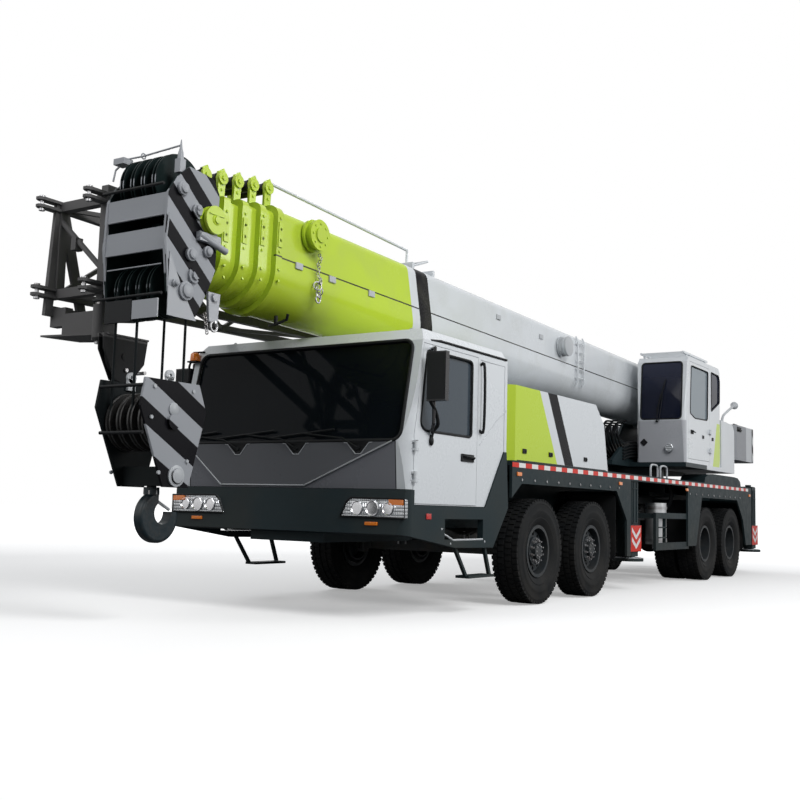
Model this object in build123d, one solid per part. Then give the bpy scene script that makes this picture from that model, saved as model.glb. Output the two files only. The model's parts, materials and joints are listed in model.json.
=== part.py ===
from build123d import *
import os
from math import atan2, cos, degrees, hypot, radians, sin

# Four-axle truck crane with its telescopic boom stowed over the driver's cab.
# Millimetres.  x runs across (+x is the crane's left side), y runs back from the first
# axle (the crane faces -y) and z runs up from the ground.  Everything is moved at the
# end so that the origin lies under the middle of the crane's length.

# ---------------------------------------------------------------- driving dimensions
HALF_WIDTH = 1375                 # half of the legal width of 2.75 m

AXLE_Y = (0, 1450, 5950, 7300)    # the first two axles steer, the last two carry twins
TYRE_RADIUS = 560                 # 12.00 R 20
TYRE_WIDTH = 310
TYRE_OUTER_X = HALF_WIDTH - 35     # the skirts pass just outside the tyres
TWIN_GAP = 40                     # between the two tyres of a twin
BEAD_RADIUS = 257
RIM_WIDTH = 216
RIM_WALL = 14
FLANGE_HEIGHT = 20
HUB_RADIUS = 150
HUB_CAP_RADIUS = 85
SPINDLE_RADIUS = 42
KINGPIN_X = TYRE_OUTER_X - TYRE_WIDTH / 2 - 235
KINGPIN_RADIUS = 25

FRAME_HALF_WIDTH = 430
FRAME_BOTTOM = 780
FRAME_TOP = 1330
FRAME_NOSE_BOTTOM = 650           # the frame dips under the cab
FRAME_NOSE_TOP = 1000
FRAME_NOSE_END = -800
FRAME_WALL_FRONT = -2640
REAR_END = 9230
DECK_TOP = 1490
DECK_THICK = 50
DECK_FRONT = -770
SKIRT_THICK = 30
SKIRT_BOTTOM = 450
ARCH_TOP = 1260

BEAM_WIDTH = 220
BEAM_BOTTOM = 930
BEAM_TOP = 1230
BEAM_STROKE = 1900
BOX_WALL = 30
JACK_X = HALF_WIDTH - 120          # middle of the vertical jacks, stowed
JACK_HALF = 95
BOX_HALF_LENGTH = JACK_X - JACK_HALF - 10
JACK_BOTTOM = 440
JACK_STROKE = 550
JACK_ROD_RADIUS = 72
PAD_RADIUS = 200
PAD_THICK = 40

CAB_STEP_IN = 15                  # from the bumper's side to the cab's
CAB_HALF_WIDTH = HALF_WIDTH - CAB_STEP_IN
CAB_WALL = 60
CAB_BOTTOM = 1010
CAB_REAR = -880
CAB_ROOF = 2580
CAB_CORNER = 140
SILL_Y, SILL_Z = -2700, 1560      # foot of the windscreen
BROW_Y, BROW_Z = -2510, 2465      # head of the windscreen
BUMPER_TOP = 1135
BUMPER_FRONT = -2715
BUMPER_WALL = 60
DOOR_FRONT, DOOR_REAR = -2610, -1490
DOOR_BOTTOM, DOOR_TOP = 1015, 2440
DOOR_GAP = 5
HINGE_RADIUS = 9
GLASS = 8
GLASS_DEPTH = 15                  # how far the glass lies below the outer skin

HOOD_HALF_WIDTH = 1150
HOOD_WALL = 40
HOOD_FRONT, HOOD_REAR = -500, 2360
HOOD_TOP = 2325

SLEW_Y = 5950                     # the slewing axis stands over the third axle
RING_RADIUS = 640
RING_TOP = 1560
PLATE_BOTTOM, PLATE_TOP = 1705, 1770
WEB_INSIDE = 385                  # the two upright webs that hold the boom foot
WEB_THICK = 40
UPPER_HALF_WIDTH = 1300

BOOM_TILT = 1.2                   # the stowed boom rises a little towards its head
BOOM_PIN_Y, BOOM_PIN_Z = 7450, 2620
BOOM_PIN_RADIUS = 70
LIFT_FOOT_Y, LIFT_FOOT_Z = 6300, 1960
LIFT_EYE_Y, LIFT_EYE_Z = 2750, 2420
LIFT_PIN_RADIUS = 50
BARREL_RADIUS = 135
LIFT_ROD_RADIUS = 90
BARREL_END = 300                  # barrel mouth to rod eye, stowed

BOOM_HALF_WIDTH = 360
BOOM_ABOVE_SEAM = 437             # the seam joins the upper and lower half shells
BOOM_BELOW_SEAM = 477
SEAM_Z_AT_AXLE_1 = 3066
BOOM_CORNER = 90
BOOM_WALL = 10
SECTION_STEP = 30                 # from one section's skin to the next
SECTIONS = 5
SECTION_STROKE = 7700
BASE_FRONT, BASE_TAIL = -3400, 7900
SECTION_REACH = 197               # each collar stands this far ahead of the last
SECTION_TAIL = 7000
COLLAR_LENGTH = 80
COLLAR_HEIGHT = 24

WINCH_Y, WINCH_Z = 8520, 2760
WINCH_SHAFT_RADIUS = 50
LIFT_CHEEK_X = 100                # inner faces of the cheeks round the lift cylinder's eye

SHEAVE_RADIUS = 220
HEAD_Y = -4420
HEAD_SHEAVE_Z = 2640
HEAD_TOP_Z = 3560
HEAD_LUG_Y, HEAD_LUG_Z = -4195, 3240
BLOCK_SHEAVE_Z = 1600
ROPE_RADIUS = 11
GROOVE_DEPTH = 30
SHEAVE_FLANGE = 10
HOOK_X = -15
HOOK_Y = HEAD_Y + 90
HOOK_SHANK = 38
HOOK_RADIUS, HOOK_BORE, HOOK_HALF_THICK = 205, 92, 48

JIB_X = (-1150, -560)
JIB_FRONT, JIB_REAR = -4450, 4700
JIB_Z = (2720, 3480)
JIB_BRACKET_Y = (-2600, 3200)
JIB_DROP = 115                    # how far the root frame hangs below the lower chords
JIB_REACH = 260                   # from the jib's root frame to the tips of its lugs

RUN_FIT = 0.6                     # round running fits
FLAT_FIT = 0.3                    # flat faces that slide or meet
CLEAR = 6                         # between pieces that move past each other
PIN_SIDE_GAP = 1.0


# ---------------------------------------------------------------- drawing helpers
def block(x, y, z):
    """Box between the low and high values given for each axis."""
    size = [abs(b - a) for a, b in (x, y, z)]
    middle = [(a + b) / 2 for a, b in (x, y, z)]
    return Pos(*middle) * Box(*size)


def across(points, x0, x1):
    """Side outline of (y, z) points, drawn across from x0 to x1."""
    outline = Polyline(*[(x0, y, z) for y, z in points], close=True)
    return extrude(make_face(outline), amount=x1 - x0, dir=(1, 0, 0))


def along(points, y0, y1):
    """Front outline of (x, z) points, drawn back from y0 to y1."""
    outline = Polyline(*[(x, y0, z) for x, z in points], close=True)
    return extrude(make_face(outline), amount=y1 - y0, dir=(0, 1, 0))


def upward(points, z0, z1):
    """Plan outline of (x, y) points, drawn up from z0 to z1."""
    outline = Polyline(*[(x, y, z0) for x, y in points], close=True)
    return extrude(make_face(outline), amount=z1 - z0, dir=(0, 0, 1))


def rod(start, end, radius):
    line = Vector(*end) - Vector(*start)
    base = Plane(origin=start, z_dir=line)
    return base * Cylinder(radius, line.length, align=(Align.CENTER, Align.CENTER, Align.MIN))


def tube(start, end, radius, bore):
    return rod(start, end, radius) - rod(start, end, bore)


def bar(start, end, width):
    """Square bar between two points."""
    line = Vector(*end) - Vector(*start)
    base = Plane(origin=start, z_dir=line)
    return base * Box(width, width, line.length, align=(Align.CENTER, Align.CENTER, Align.MIN))


def both_sides(shape):
    return shape + mirror(shape, about=Plane.YZ)


def window_along(x, z, radius, y0, y1):
    """Window with round corners between the x and z values, drawn back from y0 to y1."""
    middle = ((x[0] + x[1]) / 2, y0, (z[0] + z[1]) / 2)
    outline = RectangleRounded(x[1] - x[0], z[1] - z[0], radius)
    face = Plane(origin=middle, x_dir=(1, 0, 0), z_dir=(0, -1, 0)) * outline
    return extrude(face, amount=y1 - y0, dir=(0, 1, 0))


def on_side(shape, side):
    return shape if side == "left" else mirror(shape, about=Plane.YZ)


parts = {}


# ---------------------------------------------------------------- wheels and axles
def tyre(middle_x):
    half, bead = TYRE_WIDTH / 2, RIM_WIDTH / 2
    lip = BEAD_RADIUS + FLANGE_HEIGHT + RUN_FIT
    bulge, shoulder = TYRE_RADIUS - 140, TYRE_RADIUS - 30
    outline = [
        Line((-bead, BEAD_RADIUS), (bead, BEAD_RADIUS)),
        Line((bead, BEAD_RADIUS), (bead, lip)),
        ThreePointArc((bead, lip), (half, bulge), (half - 12, shoulder)),
        Line((half - 12, shoulder), (half - 34, TYRE_RADIUS - 5)),
        Line((half - 34, TYRE_RADIUS - 5), (0, TYRE_RADIUS)),
        Line((0, TYRE_RADIUS), (34 - half, TYRE_RADIUS - 5)),
        Line((34 - half, TYRE_RADIUS - 5), (12 - half, shoulder)),
        ThreePointArc((12 - half, shoulder), (-half, bulge), (-bead, lip)),
        Line((-bead, lip), (-bead, BEAD_RADIUS)),
    ]
    ring = revolve(make_face(Wire(outline)), Axis.X)
    return Pos(middle_x, 0, TYRE_RADIUS) * ring


def disc(x0, x1, outer, inner=0):
    """Ring about the wheel's own axis."""
    start, end = (x0, 0, TYRE_RADIUS), (x1, 0, TYRE_RADIUS)
    return tube(start, end, outer, inner) if inner else rod(start, end, outer)


def rim_barrel(middle_x):
    seat = BEAD_RADIUS - FLAT_FIT
    half = RIM_WIDTH / 2 + FLAT_FIT
    inner = seat - RIM_WALL
    barrel = disc(middle_x - half, middle_x + half, seat, inner)
    for side in (-1, 1):
        edge = middle_x + side * half
        barrel += disc(*sorted((edge, edge + side * RIM_WALL)), seat + FLANGE_HEIGHT, inner)
    return barrel


def cone_web(x0, r0, x1, r1):
    """Dished web that runs from radius r0 at x0 to radius r1 at x1."""
    points = [(x0, r0), (x1, r1), (x1 + RIM_WALL, r1), (x0 + RIM_WALL, r0)]
    face = make_face(Polyline(*points, close=True))
    return Pos(0, 0, TYRE_RADIUS) * revolve(face, Axis.X)


OUTER_TYRE_X = TYRE_OUTER_X - TYRE_WIDTH / 2
INNER_TYRE_X = OUTER_TYRE_X - TYRE_WIDTH - TWIN_GAP
TWIN_MIDDLE_X = (OUTER_TYRE_X + INNER_TYRE_X) / 2
DRUM_RADIUS = 205
DRUM_WALL = 18
FRONT_DISC_X = OUTER_TYRE_X + 45
HAND_HOLES = 10
HAND_HOLE_RADIUS = 22
KNUCKLE_FACE_X = KINGPIN_X + 75


def hand_holes(x0, x1, ring_radius):
    """Ring of holes through the wheel's web."""
    hole = rod((x0, 0, TYRE_RADIUS + ring_radius), (x1, 0, TYRE_RADIUS + ring_radius), HAND_HOLE_RADIUS)
    wheel_axis = Axis((0, 0, TYRE_RADIUS), (1, 0, 0))
    return [hole.rotate(wheel_axis, step * 360 / HAND_HOLES) for step in range(HAND_HOLES)]


def front_rim():
    inner = BEAD_RADIUS - FLAT_FIT - RIM_WALL
    rim = rim_barrel(OUTER_TYRE_X)
    rim += cone_web(FRONT_DISC_X, inner - 30, FRONT_DISC_X - 45, inner + 2)
    rim += disc(FRONT_DISC_X, FRONT_DISC_X + RIM_WALL, inner - 29)
    rim += disc(FRONT_DISC_X - 90, FRONT_DISC_X + 45, HUB_RADIUS)
    rim += disc(FRONT_DISC_X + 45, FRONT_DISC_X + 85, HUB_CAP_RADIUS)
    drum_start = KNUCKLE_FACE_X + 10
    rim += disc(drum_start, FRONT_DISC_X - 60, DRUM_RADIUS, DRUM_RADIUS - DRUM_WALL)
    rim += disc(FRONT_DISC_X - 60 - DRUM_WALL, FRONT_DISC_X - 60, DRUM_RADIUS)
    rim -= hand_holes(FRONT_DISC_X - 5, FRONT_DISC_X + RIM_WALL + 5, HUB_RADIUS + HAND_HOLE_RADIUS + 12)
    return rim - disc(drum_start, FRONT_DISC_X + 20, SPINDLE_RADIUS + RUN_FIT)


def twin_rim():
    inner = BEAD_RADIUS - FLAT_FIT - RIM_WALL
    half = RIM_WIDTH / 2
    rim = rim_barrel(OUTER_TYRE_X) + rim_barrel(INNER_TYRE_X)
    rim += cone_web(TWIN_MIDDLE_X, HUB_RADIUS + 20, OUTER_TYRE_X - half + 12, inner + 2)
    rim += cone_web(TWIN_MIDDLE_X - RIM_WALL, HUB_RADIUS + 20, INNER_TYRE_X + half - 12 - RIM_WALL, inner + 2)
    rim += disc(TWIN_MIDDLE_X - RIM_WALL, TWIN_MIDDLE_X + RIM_WALL, HUB_RADIUS + 21)
    rim += disc(TWIN_MIDDLE_X - 60, TWIN_MIDDLE_X + 90, HUB_RADIUS - 10)
    rim += disc(TWIN_MIDDLE_X + 90, TWIN_MIDDLE_X + 140, HUB_CAP_RADIUS)
    drum_start = INNER_TYRE_X - 60
    rim += disc(drum_start, TWIN_MIDDLE_X - 50, DRUM_RADIUS, DRUM_RADIUS - DRUM_WALL)
    rim += disc(TWIN_MIDDLE_X - 50 - DRUM_WALL, TWIN_MIDDLE_X - 50, DRUM_RADIUS)
    rim -= hand_holes(TWIN_MIDDLE_X + RIM_WALL + 2, OUTER_TYRE_X, inner - HAND_HOLE_RADIUS - 10)
    return rim - disc(drum_start, TWIN_MIDDLE_X + 60, SPINDLE_RADIUS + RUN_FIT)


def knuckle():
    """Fork, kingpin and spindle of a steered wheel."""
    eye_top, eye_bottom = TYRE_RADIUS + 60, TYRE_RADIUS - 60
    pin_ends = (eye_bottom - 40, eye_top + 40)
    shape = rod((KINGPIN_X, 0, pin_ends[0]), (KINGPIN_X, 0, pin_ends[1]), KINGPIN_RADIUS)
    for z in ((eye_top + FLAT_FIT, pin_ends[1]), (pin_ends[0], eye_bottom - FLAT_FIT)):
        shape += rod((KINGPIN_X, 0, z[0]), (KINGPIN_X, 0, z[1]), 50)
        shape += block((KINGPIN_X, KNUCKLE_FACE_X), (-50, 50), z)
    shape += block((KINGPIN_X + 58, KNUCKLE_FACE_X), (-62, 62), pin_ends)
    spindle_end = FRONT_DISC_X + 15
    shape += rod((KNUCKLE_FACE_X, 0, TYRE_RADIUS), (spindle_end, 0, TYRE_RADIUS), SPINDLE_RADIUS)
    return shape


SPRING_HALF_LENGTH = 600
SPRING_X = (FRAME_HALF_WIDTH - 90, FRAME_HALF_WIDTH)


def leaf_spring(seat_z):
    """Pack of leaves from its eyes under the frame down to the axle's seat."""
    length = SPRING_HALF_LENGTH
    pack = [(-length, FRAME_BOTTOM), (-length, FRAME_BOTTOM - 30), (-80, seat_z), (80, seat_z),
            (length, FRAME_BOTTOM - 30), (length, FRAME_BOTTOM), (length - 110, FRAME_BOTTOM),
            (80, seat_z + 70), (-80, seat_z + 70), (110 - length, FRAME_BOTTOM)]
    return across(pack, *SPRING_X)


def steer_axle():
    top, bottom = TYRE_RADIUS + 60, TYRE_RADIUS - 60
    beam = block((-KINGPIN_X, KINGPIN_X), (-45, 45), (bottom, top))
    groove = block((-KINGPIN_X + 130, KINGPIN_X - 130), (25, 46), (bottom + 25, top - 25))
    beam -= groove + mirror(groove, about=Plane.XZ)
    for side in (-1, 1):
        x = side * KINGPIN_X
        beam += rod((x, 0, bottom), (x, 0, top), 52)
        beam -= rod((x, 0, bottom), (x, 0, top), KINGPIN_RADIUS + RUN_FIT)
    return beam + both_sides(leaf_spring(top))


def drive_axle():
    tube_radius = 88
    end = INNER_TYRE_X - TYRE_WIDTH / 2 + 60
    axle = rod((-end, 0, TYRE_RADIUS), (end, 0, TYRE_RADIUS), tube_radius)
    axle += rod((0, -190, TYRE_RADIUS), (0, 170, TYRE_RADIUS), 205)
    axle += rod((0, -330, TYRE_RADIUS), (0, -190, TYRE_RADIUS), 95)
    spindle_end = TWIN_MIDDLE_X + 55
    axle += rod((-spindle_end, 0, TYRE_RADIUS), (spindle_end, 0, TYRE_RADIUS), SPINDLE_RADIUS)
    seat = TYRE_RADIUS + tube_radius
    axle += both_sides(block(SPRING_X, (-80, 80), (TYRE_RADIUS, seat)))
    return axle + both_sides(leaf_spring(seat))


def wheels_and_axles():
    front, twin = front_rim(), twin_rim()
    tyres = {"front": tyre(OUTER_TYRE_X), "twin": tyre(OUTER_TYRE_X) + tyre(INNER_TYRE_X)}
    fork = knuckle()
    axles = []
    for number, y in enumerate(AXLE_Y, start=1):
        steered = number <= 2
        axles.append(Pos(0, y, 0) * (steer_axle() if steered else drive_axle()))
        for side in ("left", "right"):
            place = Pos(0, y, 0)
            parts[f"rim_{number}_{side}"] = place * on_side(front if steered else twin, side)
            parts[f"tyre_{number}_{side}"] = place * on_side(tyres["front" if steered else "twin"], side)
            if steered:
                parts[f"knuckle_{number}_{side}"] = place * on_side(fork, side)
    parts["axle_beams"] = Compound(axles)


# ---------------------------------------------------------------- chassis and outriggers
# each pair of beams lies side by side: (name, y of the left beam, y of the right beam, jack top)
OUTRIGGERS = (("front", 2785, 3085, 1430), ("rear", 8700, 9000, 1500))


def frame():
    side = [(FRAME_WALL_FRONT, FRAME_NOSE_BOTTOM), (FRAME_NOSE_END - 400, FRAME_NOSE_BOTTOM),
            (FRAME_NOSE_END, FRAME_BOTTOM), (REAR_END - 60, FRAME_BOTTOM), (REAR_END - 60, FRAME_TOP),
            (FRAME_NOSE_END + 60, FRAME_TOP), (FRAME_NOSE_END, FRAME_NOSE_TOP),
            (FRAME_WALL_FRONT, FRAME_NOSE_TOP)]
    shape = across(side, -FRAME_HALF_WIDTH, FRAME_HALF_WIDTH)
    ring = rod((0, SLEW_Y, FRAME_TOP - 10), (0, SLEW_Y, RING_TOP), RING_RADIUS)
    shape += ring + block((-RING_RADIUS, RING_RADIUS), (SLEW_Y - RING_RADIUS, SLEW_Y + RING_RADIUS),
                          (FRAME_TOP - 60, FRAME_TOP))
    for name, left_y, right_y, jack_top in OUTRIGGERS:
        half = BEAM_WIDTH / 2 + BOX_WALL
        low, high = min(left_y, right_y) - half, max(left_y, right_y) + half
        shape += block((-BOX_HALF_LENGTH, BOX_HALF_LENGTH), (low, high),
                       (BEAM_BOTTOM - BOX_WALL, BEAM_TOP + BOX_WALL))
    for name, left_y, right_y, jack_top in OUTRIGGERS:
        for y in (left_y, right_y):
            half = BEAM_WIDTH / 2 + FLAT_FIT
            shape -= block((-BOX_HALF_LENGTH, BOX_HALF_LENGTH), (y - half, y + half),
                           (BEAM_BOTTOM - FLAT_FIT, BEAM_TOP + FLAT_FIT))
    # panel across the rear end, behind the jacks
    shape += block((-BOX_HALF_LENGTH, BOX_HALF_LENGTH), (REAR_END - 60, REAR_END), (620, DECK_TOP))
    return shape


def boom_rest():
    """Post between the cab and the hood that the stowed boom lies over."""
    y = (CAB_REAR + HOOD_FRONT) / 2
    saddle_z = boom_z(y, -BOOM_BELOW_SEAM) - CLEAR
    post = both_sides(block((230, 310), (y - 45, y + 45), (FRAME_TOP + FLAT_FIT, saddle_z - 150)))
    wing = [(-350, saddle_z - 150), (350, saddle_z - 150), (350, saddle_z + 110), (330, saddle_z + 110),
            (200, saddle_z - 30), (-200, saddle_z - 30), (-330, saddle_z + 110), (-350, saddle_z + 110)]
    return post + along(wing, y - 60, y + 60)


HUMP_Y = (6000, 8100)
HUMP_X = (900, 1290)
HUMP_HEIGHT = 160


def wheel_hump():
    """Rounded cover on the deck over the twin wheels."""
    low, high = HUMP_Y
    base, top = DECK_TOP + FLAT_FIT, DECK_TOP + HUMP_HEIGHT
    outline = [(low, base), (low + 50, top - 70), (low + 200, top - 12), (low + 450, top),
               (high - 450, top), (high - 200, top - 12), (high - 50, top - 70), (high, base)]
    return across(outline, *HUMP_X)


def deck_and_skirts():
    inside = HALF_WIDTH - SKIRT_THICK - FLAT_FIT
    deck = block((-inside, inside), (DECK_FRONT, REAR_END - 800), (DECK_TOP - DECK_THICK, DECK_TOP))
    deck -= rod((0, SLEW_Y, DECK_TOP - DECK_THICK), (0, SLEW_Y, DECK_TOP), RING_RADIUS + 40)
    for y in (-450, 700, 2000, 3600, 4900, 7000, 8200):
        deck += block((-FRAME_HALF_WIDTH, FRAME_HALF_WIDTH), (y - 60, y + 60),
                      (FRAME_TOP, DECK_TOP - DECK_THICK))
    front = [(DECK_FRONT, DECK_TOP), (2580, DECK_TOP), (2580, SKIRT_BOTTOM), (2450, SKIRT_BOTTOM),
             (2440, 900), (2090, ARCH_TOP), (-550, ARCH_TOP), (DECK_FRONT, 1110)]
    rear = [(4910, DECK_TOP), (REAR_END - 800, DECK_TOP), (REAR_END - 800, 510), (8070, 510),
            (7890, 930), (7530, ARCH_TOP), (5590, ARCH_TOP), (5300, 540), (4910, 540)]
    ahead = across(front, HALF_WIDTH - SKIRT_THICK, HALF_WIDTH)
    skirt = across(rear, HALF_WIDTH - SKIRT_THICK, HALF_WIDTH)
    rail_x = (HALF_WIDTH - 60, HALF_WIDTH - SKIRT_THICK + 10)
    for z in ((500, 600), (930, 1010)):
        skirt += block(rail_x, (3580, 5000), z)
    skirt += block(rail_x, (3580, 3680), (500, 1010))
    skirt += block((FRAME_HALF_WIDTH, HALF_WIDTH - 50), (3600, 3660), (930, 1000))
    covers = [ahead, skirt, wheel_hump()]
    return deck, covers + [mirror(shape, about=Plane.YZ) for shape in covers]


def outriggers():
    for name, left_y, right_y, jack_top in OUTRIGGERS:
        for side, y in (("left", left_y), ("right", right_y)):
            half = BEAM_WIDTH / 2
            beam = block((-BOX_HALF_LENGTH + 40, JACK_X - JACK_HALF), (y - half, y + half),
                         (BEAM_BOTTOM, BEAM_TOP))
            beam += block((JACK_X - JACK_HALF, JACK_X + JACK_HALF), (y - 120, y + 120),
                          (JACK_BOTTOM, jack_top))
            beam += block((JACK_X + JACK_HALF, JACK_X + JACK_HALF + 15), (y - 195, y + 195), (500, 840))
            beam -= rod((JACK_X, y, JACK_BOTTOM), (JACK_X, y, jack_top - 60), JACK_ROD_RADIUS + RUN_FIT)
            foot = rod((JACK_X, y, JACK_BOTTOM - 20), (JACK_X, y, jack_top - 90), JACK_ROD_RADIUS)
            foot += rod((JACK_X, y, JACK_BOTTOM - 20), (JACK_X, y, JACK_BOTTOM - FLAT_FIT), 90)
            foot += rod((JACK_X, y, JACK_BOTTOM - 20 - PAD_THICK), (JACK_X, y, JACK_BOTTOM - 20), PAD_RADIUS)
            parts[f"outrigger_beam_{name}_{side}"] = on_side(beam, side)
            parts[f"outrigger_jack_{name}_{side}"] = on_side(foot, side)


def side_tanks():
    """Fuel tank on the right and upright silencer on the left, both between the axle pairs."""
    z = (560, 1150)
    silencer_x, tank_x = HALF_WIDTH - 325, 415 - HALF_WIDTH
    silencer = rod((silencer_x, 4450, z[0]), (silencer_x, 4450, z[1]), 150)
    silencer += rod((silencer_x, 4450, z[0] - 60), (silencer_x, 4450, z[0]), 50)
    silencer += block((FRAME_HALF_WIDTH, silencer_x), (4400, 4500), (900, 960))
    tank = rod((tank_x, 3720, 860), (tank_x, 4860, 860), 300)
    tank = fillet(tank.edges(), 40)
    for y in (3930, 4630):
        tank += block((tank_x, -FRAME_HALF_WIDTH), (y - 30, y + 30), (800, 900))
    return Compound([silencer, tank])


# ---------------------------------------------------------------- driver's cab
def cab_solid(inset):
    """The cab's outer form, drawn in from its skin by the inset on every side."""
    side = [(SILL_Y + 90, CAB_BOTTOM), (SILL_Y + 90, BUMPER_TOP + 5), (SILL_Y + 35, BUMPER_TOP + 5),
            (SILL_Y, SILL_Z), (BROW_Y, BROW_Z), (BROW_Y + 90, CAB_ROOF), (CAB_REAR, CAB_ROOF),
            (CAB_REAR, CAB_BOTTOM)]
    outline = make_face(Polyline(*[(0, y, z) for y, z in side], close=True))
    if inset:
        outline = offset(outline, -inset, kind=Kind.INTERSECTION)
    half = CAB_HALF_WIDTH - inset
    body = extrude(outline, amount=half, dir=(1, 0, 0), both=True)
    front, corner = SILL_Y + inset, CAB_CORNER - min(inset, CAB_CORNER - 20)
    plan = Pos(0, (front + CAB_REAR) / 2 + 500, 0) * RectangleRounded(2 * half, CAB_REAR - front + 1000, corner)
    body &= extrude(plan, amount=CAB_ROOF + 200)
    shoulder = CAB_ROOF - 110
    hip = [(-half, 0), (half, 0), (half, shoulder), (half - 70, CAB_ROOF - inset), (-half + 70, CAB_ROOF - inset),
           (-half, shoulder)]
    return body & along(hip, SILL_Y - 100, CAB_REAR + 100)


DOOR_OUTLINE = [(DOOR_FRONT, DOOR_BOTTOM), (DOOR_FRONT, SILL_Z + 60), (DOOR_FRONT + 120, DOOR_TOP),
                (DOOR_REAR, DOOR_TOP), (DOOR_REAR, DOOR_BOTTOM)]
WINDOW_OUTLINE = [(DOOR_FRONT + 85, SILL_Z + 150), (DOOR_FRONT + 175, DOOR_TOP - 60),
                  (DOOR_REAR - 120, DOOR_TOP - 60), (DOOR_REAR - 120, SILL_Z + 100),
                  (DOOR_FRONT + 160, SILL_Z + 100)]


def outline_across(points, grow, x0, x1):
    face = make_face(Polyline(*[(x0, y, z) for y, z in points], close=True))
    if grow:
        face = offset(face, grow, kind=Kind.INTERSECTION)
    return extrude(face, amount=x1 - x0, dir=(1, 0, 0))


HINGE_X, HINGE_Y = CAB_HALF_WIDTH + 20, DOOR_FRONT - 2
HINGE_Z = (1250, 1520)


def hinge_pin(z):
    """Pin and two leaves that the cab holds."""
    leaf = rod((HINGE_X, HINGE_Y, z - 45), (HINGE_X, HINGE_Y, z + 45), HINGE_RADIUS)
    for low in (z - 45, z + 25):
        leaf += rod((HINGE_X, HINGE_Y, low), (HINGE_X, HINGE_Y, low + 20), HINGE_RADIUS + 8)
        leaf += block((CAB_HALF_WIDTH - 30, HINGE_X), (HINGE_Y - 17, HINGE_Y), (low, low + 20))
    return leaf


def hinge_barrel(z):
    """Barrel and leaf on the door, between the cab's two leaves."""
    span = (z - 25 + FLAT_FIT, z + 25 - FLAT_FIT)
    barrel = rod((HINGE_X, HINGE_Y, span[0]), (HINGE_X, HINGE_Y, span[1]), HINGE_RADIUS + 8)
    barrel += block((CAB_HALF_WIDTH - 20, HINGE_X), (HINGE_Y + 2 + DOOR_GAP, HINGE_Y + 60), span)
    barrel += block((HINGE_X - 6, HINGE_X + 8), (HINGE_Y, HINGE_Y + 60), span)
    return barrel - rod((HINGE_X, HINGE_Y, span[0]), (HINGE_X, HINGE_Y, span[1]), HINGE_RADIUS + RUN_FIT)


SCREEN_X, SCREEN_CORNER = CAB_HALF_WIDTH - 98, 90
MIRROR_X = (CAB_HALF_WIDTH + 65, CAB_HALF_WIDTH + 255)
MIRROR_Y = (-2540, -2480)
MIRROR_Z = (1910, 2345)


def mirror_arm():
    """Tube bent round the tall mirror and bolted to the door above and below its window."""
    x, y = CAB_HALF_WIDTH + 90, MIRROR_Y[1] + 30
    skin = CAB_HALF_WIDTH - 8
    low = [(skin, -2330, 1620), (x, y, 1720)]
    high = [(skin, -2370, 2395), (x, y, 2390)]
    shape = rod(low[1], high[1], 15)
    for foot, bend in (low, high):
        shape += rod(foot, bend, 15) + (Pos(*bend) * Sphere(15))
        shape += rod((skin, foot[1], foot[2]), (skin + 16, foot[1], foot[2]), 30)
    shape += block(MIRROR_X, MIRROR_Y, MIRROR_Z)
    return shape + block((x - 20, x + 20), (MIRROR_Y[1] - 5, y), (2060, 2180))


def cab():
    outside = cab_solid(0)
    shell = outside - cab_solid(CAB_WALL)
    skin = cab_solid(GLASS_DEPTH) - cab_solid(GLASS_DEPTH + GLASS)
    screen = window_along((-SCREEN_X, SCREEN_X), (SILL_Z + 10, BROW_Z - 5), SCREEN_CORNER,
                          SILL_Y - 100, BROW_Y + 150)
    pane = window_along((-SCREEN_X + FLAT_FIT, SCREEN_X - FLAT_FIT), (SILL_Z + 10 + FLAT_FIT, BROW_Z - 5 - FLAT_FIT),
                        SCREEN_CORNER - FLAT_FIT, SILL_Y - 100, BROW_Y + 150)
    doorway = outline_across(DOOR_OUTLINE, 0, CAB_HALF_WIDTH - CAB_WALL - 20, CAB_HALF_WIDTH + 20)
    parts["cab_glass"] = skin & pane
    door = shell & outline_across(DOOR_OUTLINE, -DOOR_GAP, CAB_HALF_WIDTH - CAB_WALL - 20, CAB_HALF_WIDTH + 20)
    hole = (CAB_HALF_WIDTH - CAB_WALL - 20, CAB_HALF_WIDTH + 20)
    door -= outline_across(WINDOW_OUTLINE, 0, *hole)
    door_pane = skin & outline_across(WINDOW_OUTLINE, -FLAT_FIT, *hole)
    shell -= screen
    shell -= both_sides(doorway)
    for z in HINGE_Z:
        leaf = hinge_barrel(z)
        door -= block((CAB_HALF_WIDTH - 20 - FLAT_FIT, HINGE_X + 20), (HINGE_Y - 20, HINGE_Y + 2 + DOOR_GAP), (z - 50, z + 50))
        door += leaf
        shell += both_sides(hinge_pin(z))
    door += mirror_arm()
    parts["cab_shell"] = shell
    for side in ("left", "right"):
        parts[f"cab_door_{side}"] = on_side(door, side)
        parts[f"door_glass_{side}"] = on_side(door_pane, side)


def seat(x, y, floor):
    """Sprung seat: plinth, cushion and backrest."""
    shape = block((x - 180, x + 180), (y - 180, y + 180), (floor, floor + 300))
    shape += block((x - 250, x + 250), (y - 260, y + 240), (floor + 300, floor + 430))
    back = [(y + 180, floor + 430), (y + 300, floor + 430), (y + 390, floor + 1050), (y + 290, floor + 1050)]
    return shape + across(back, x - 240, x + 240)


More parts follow.
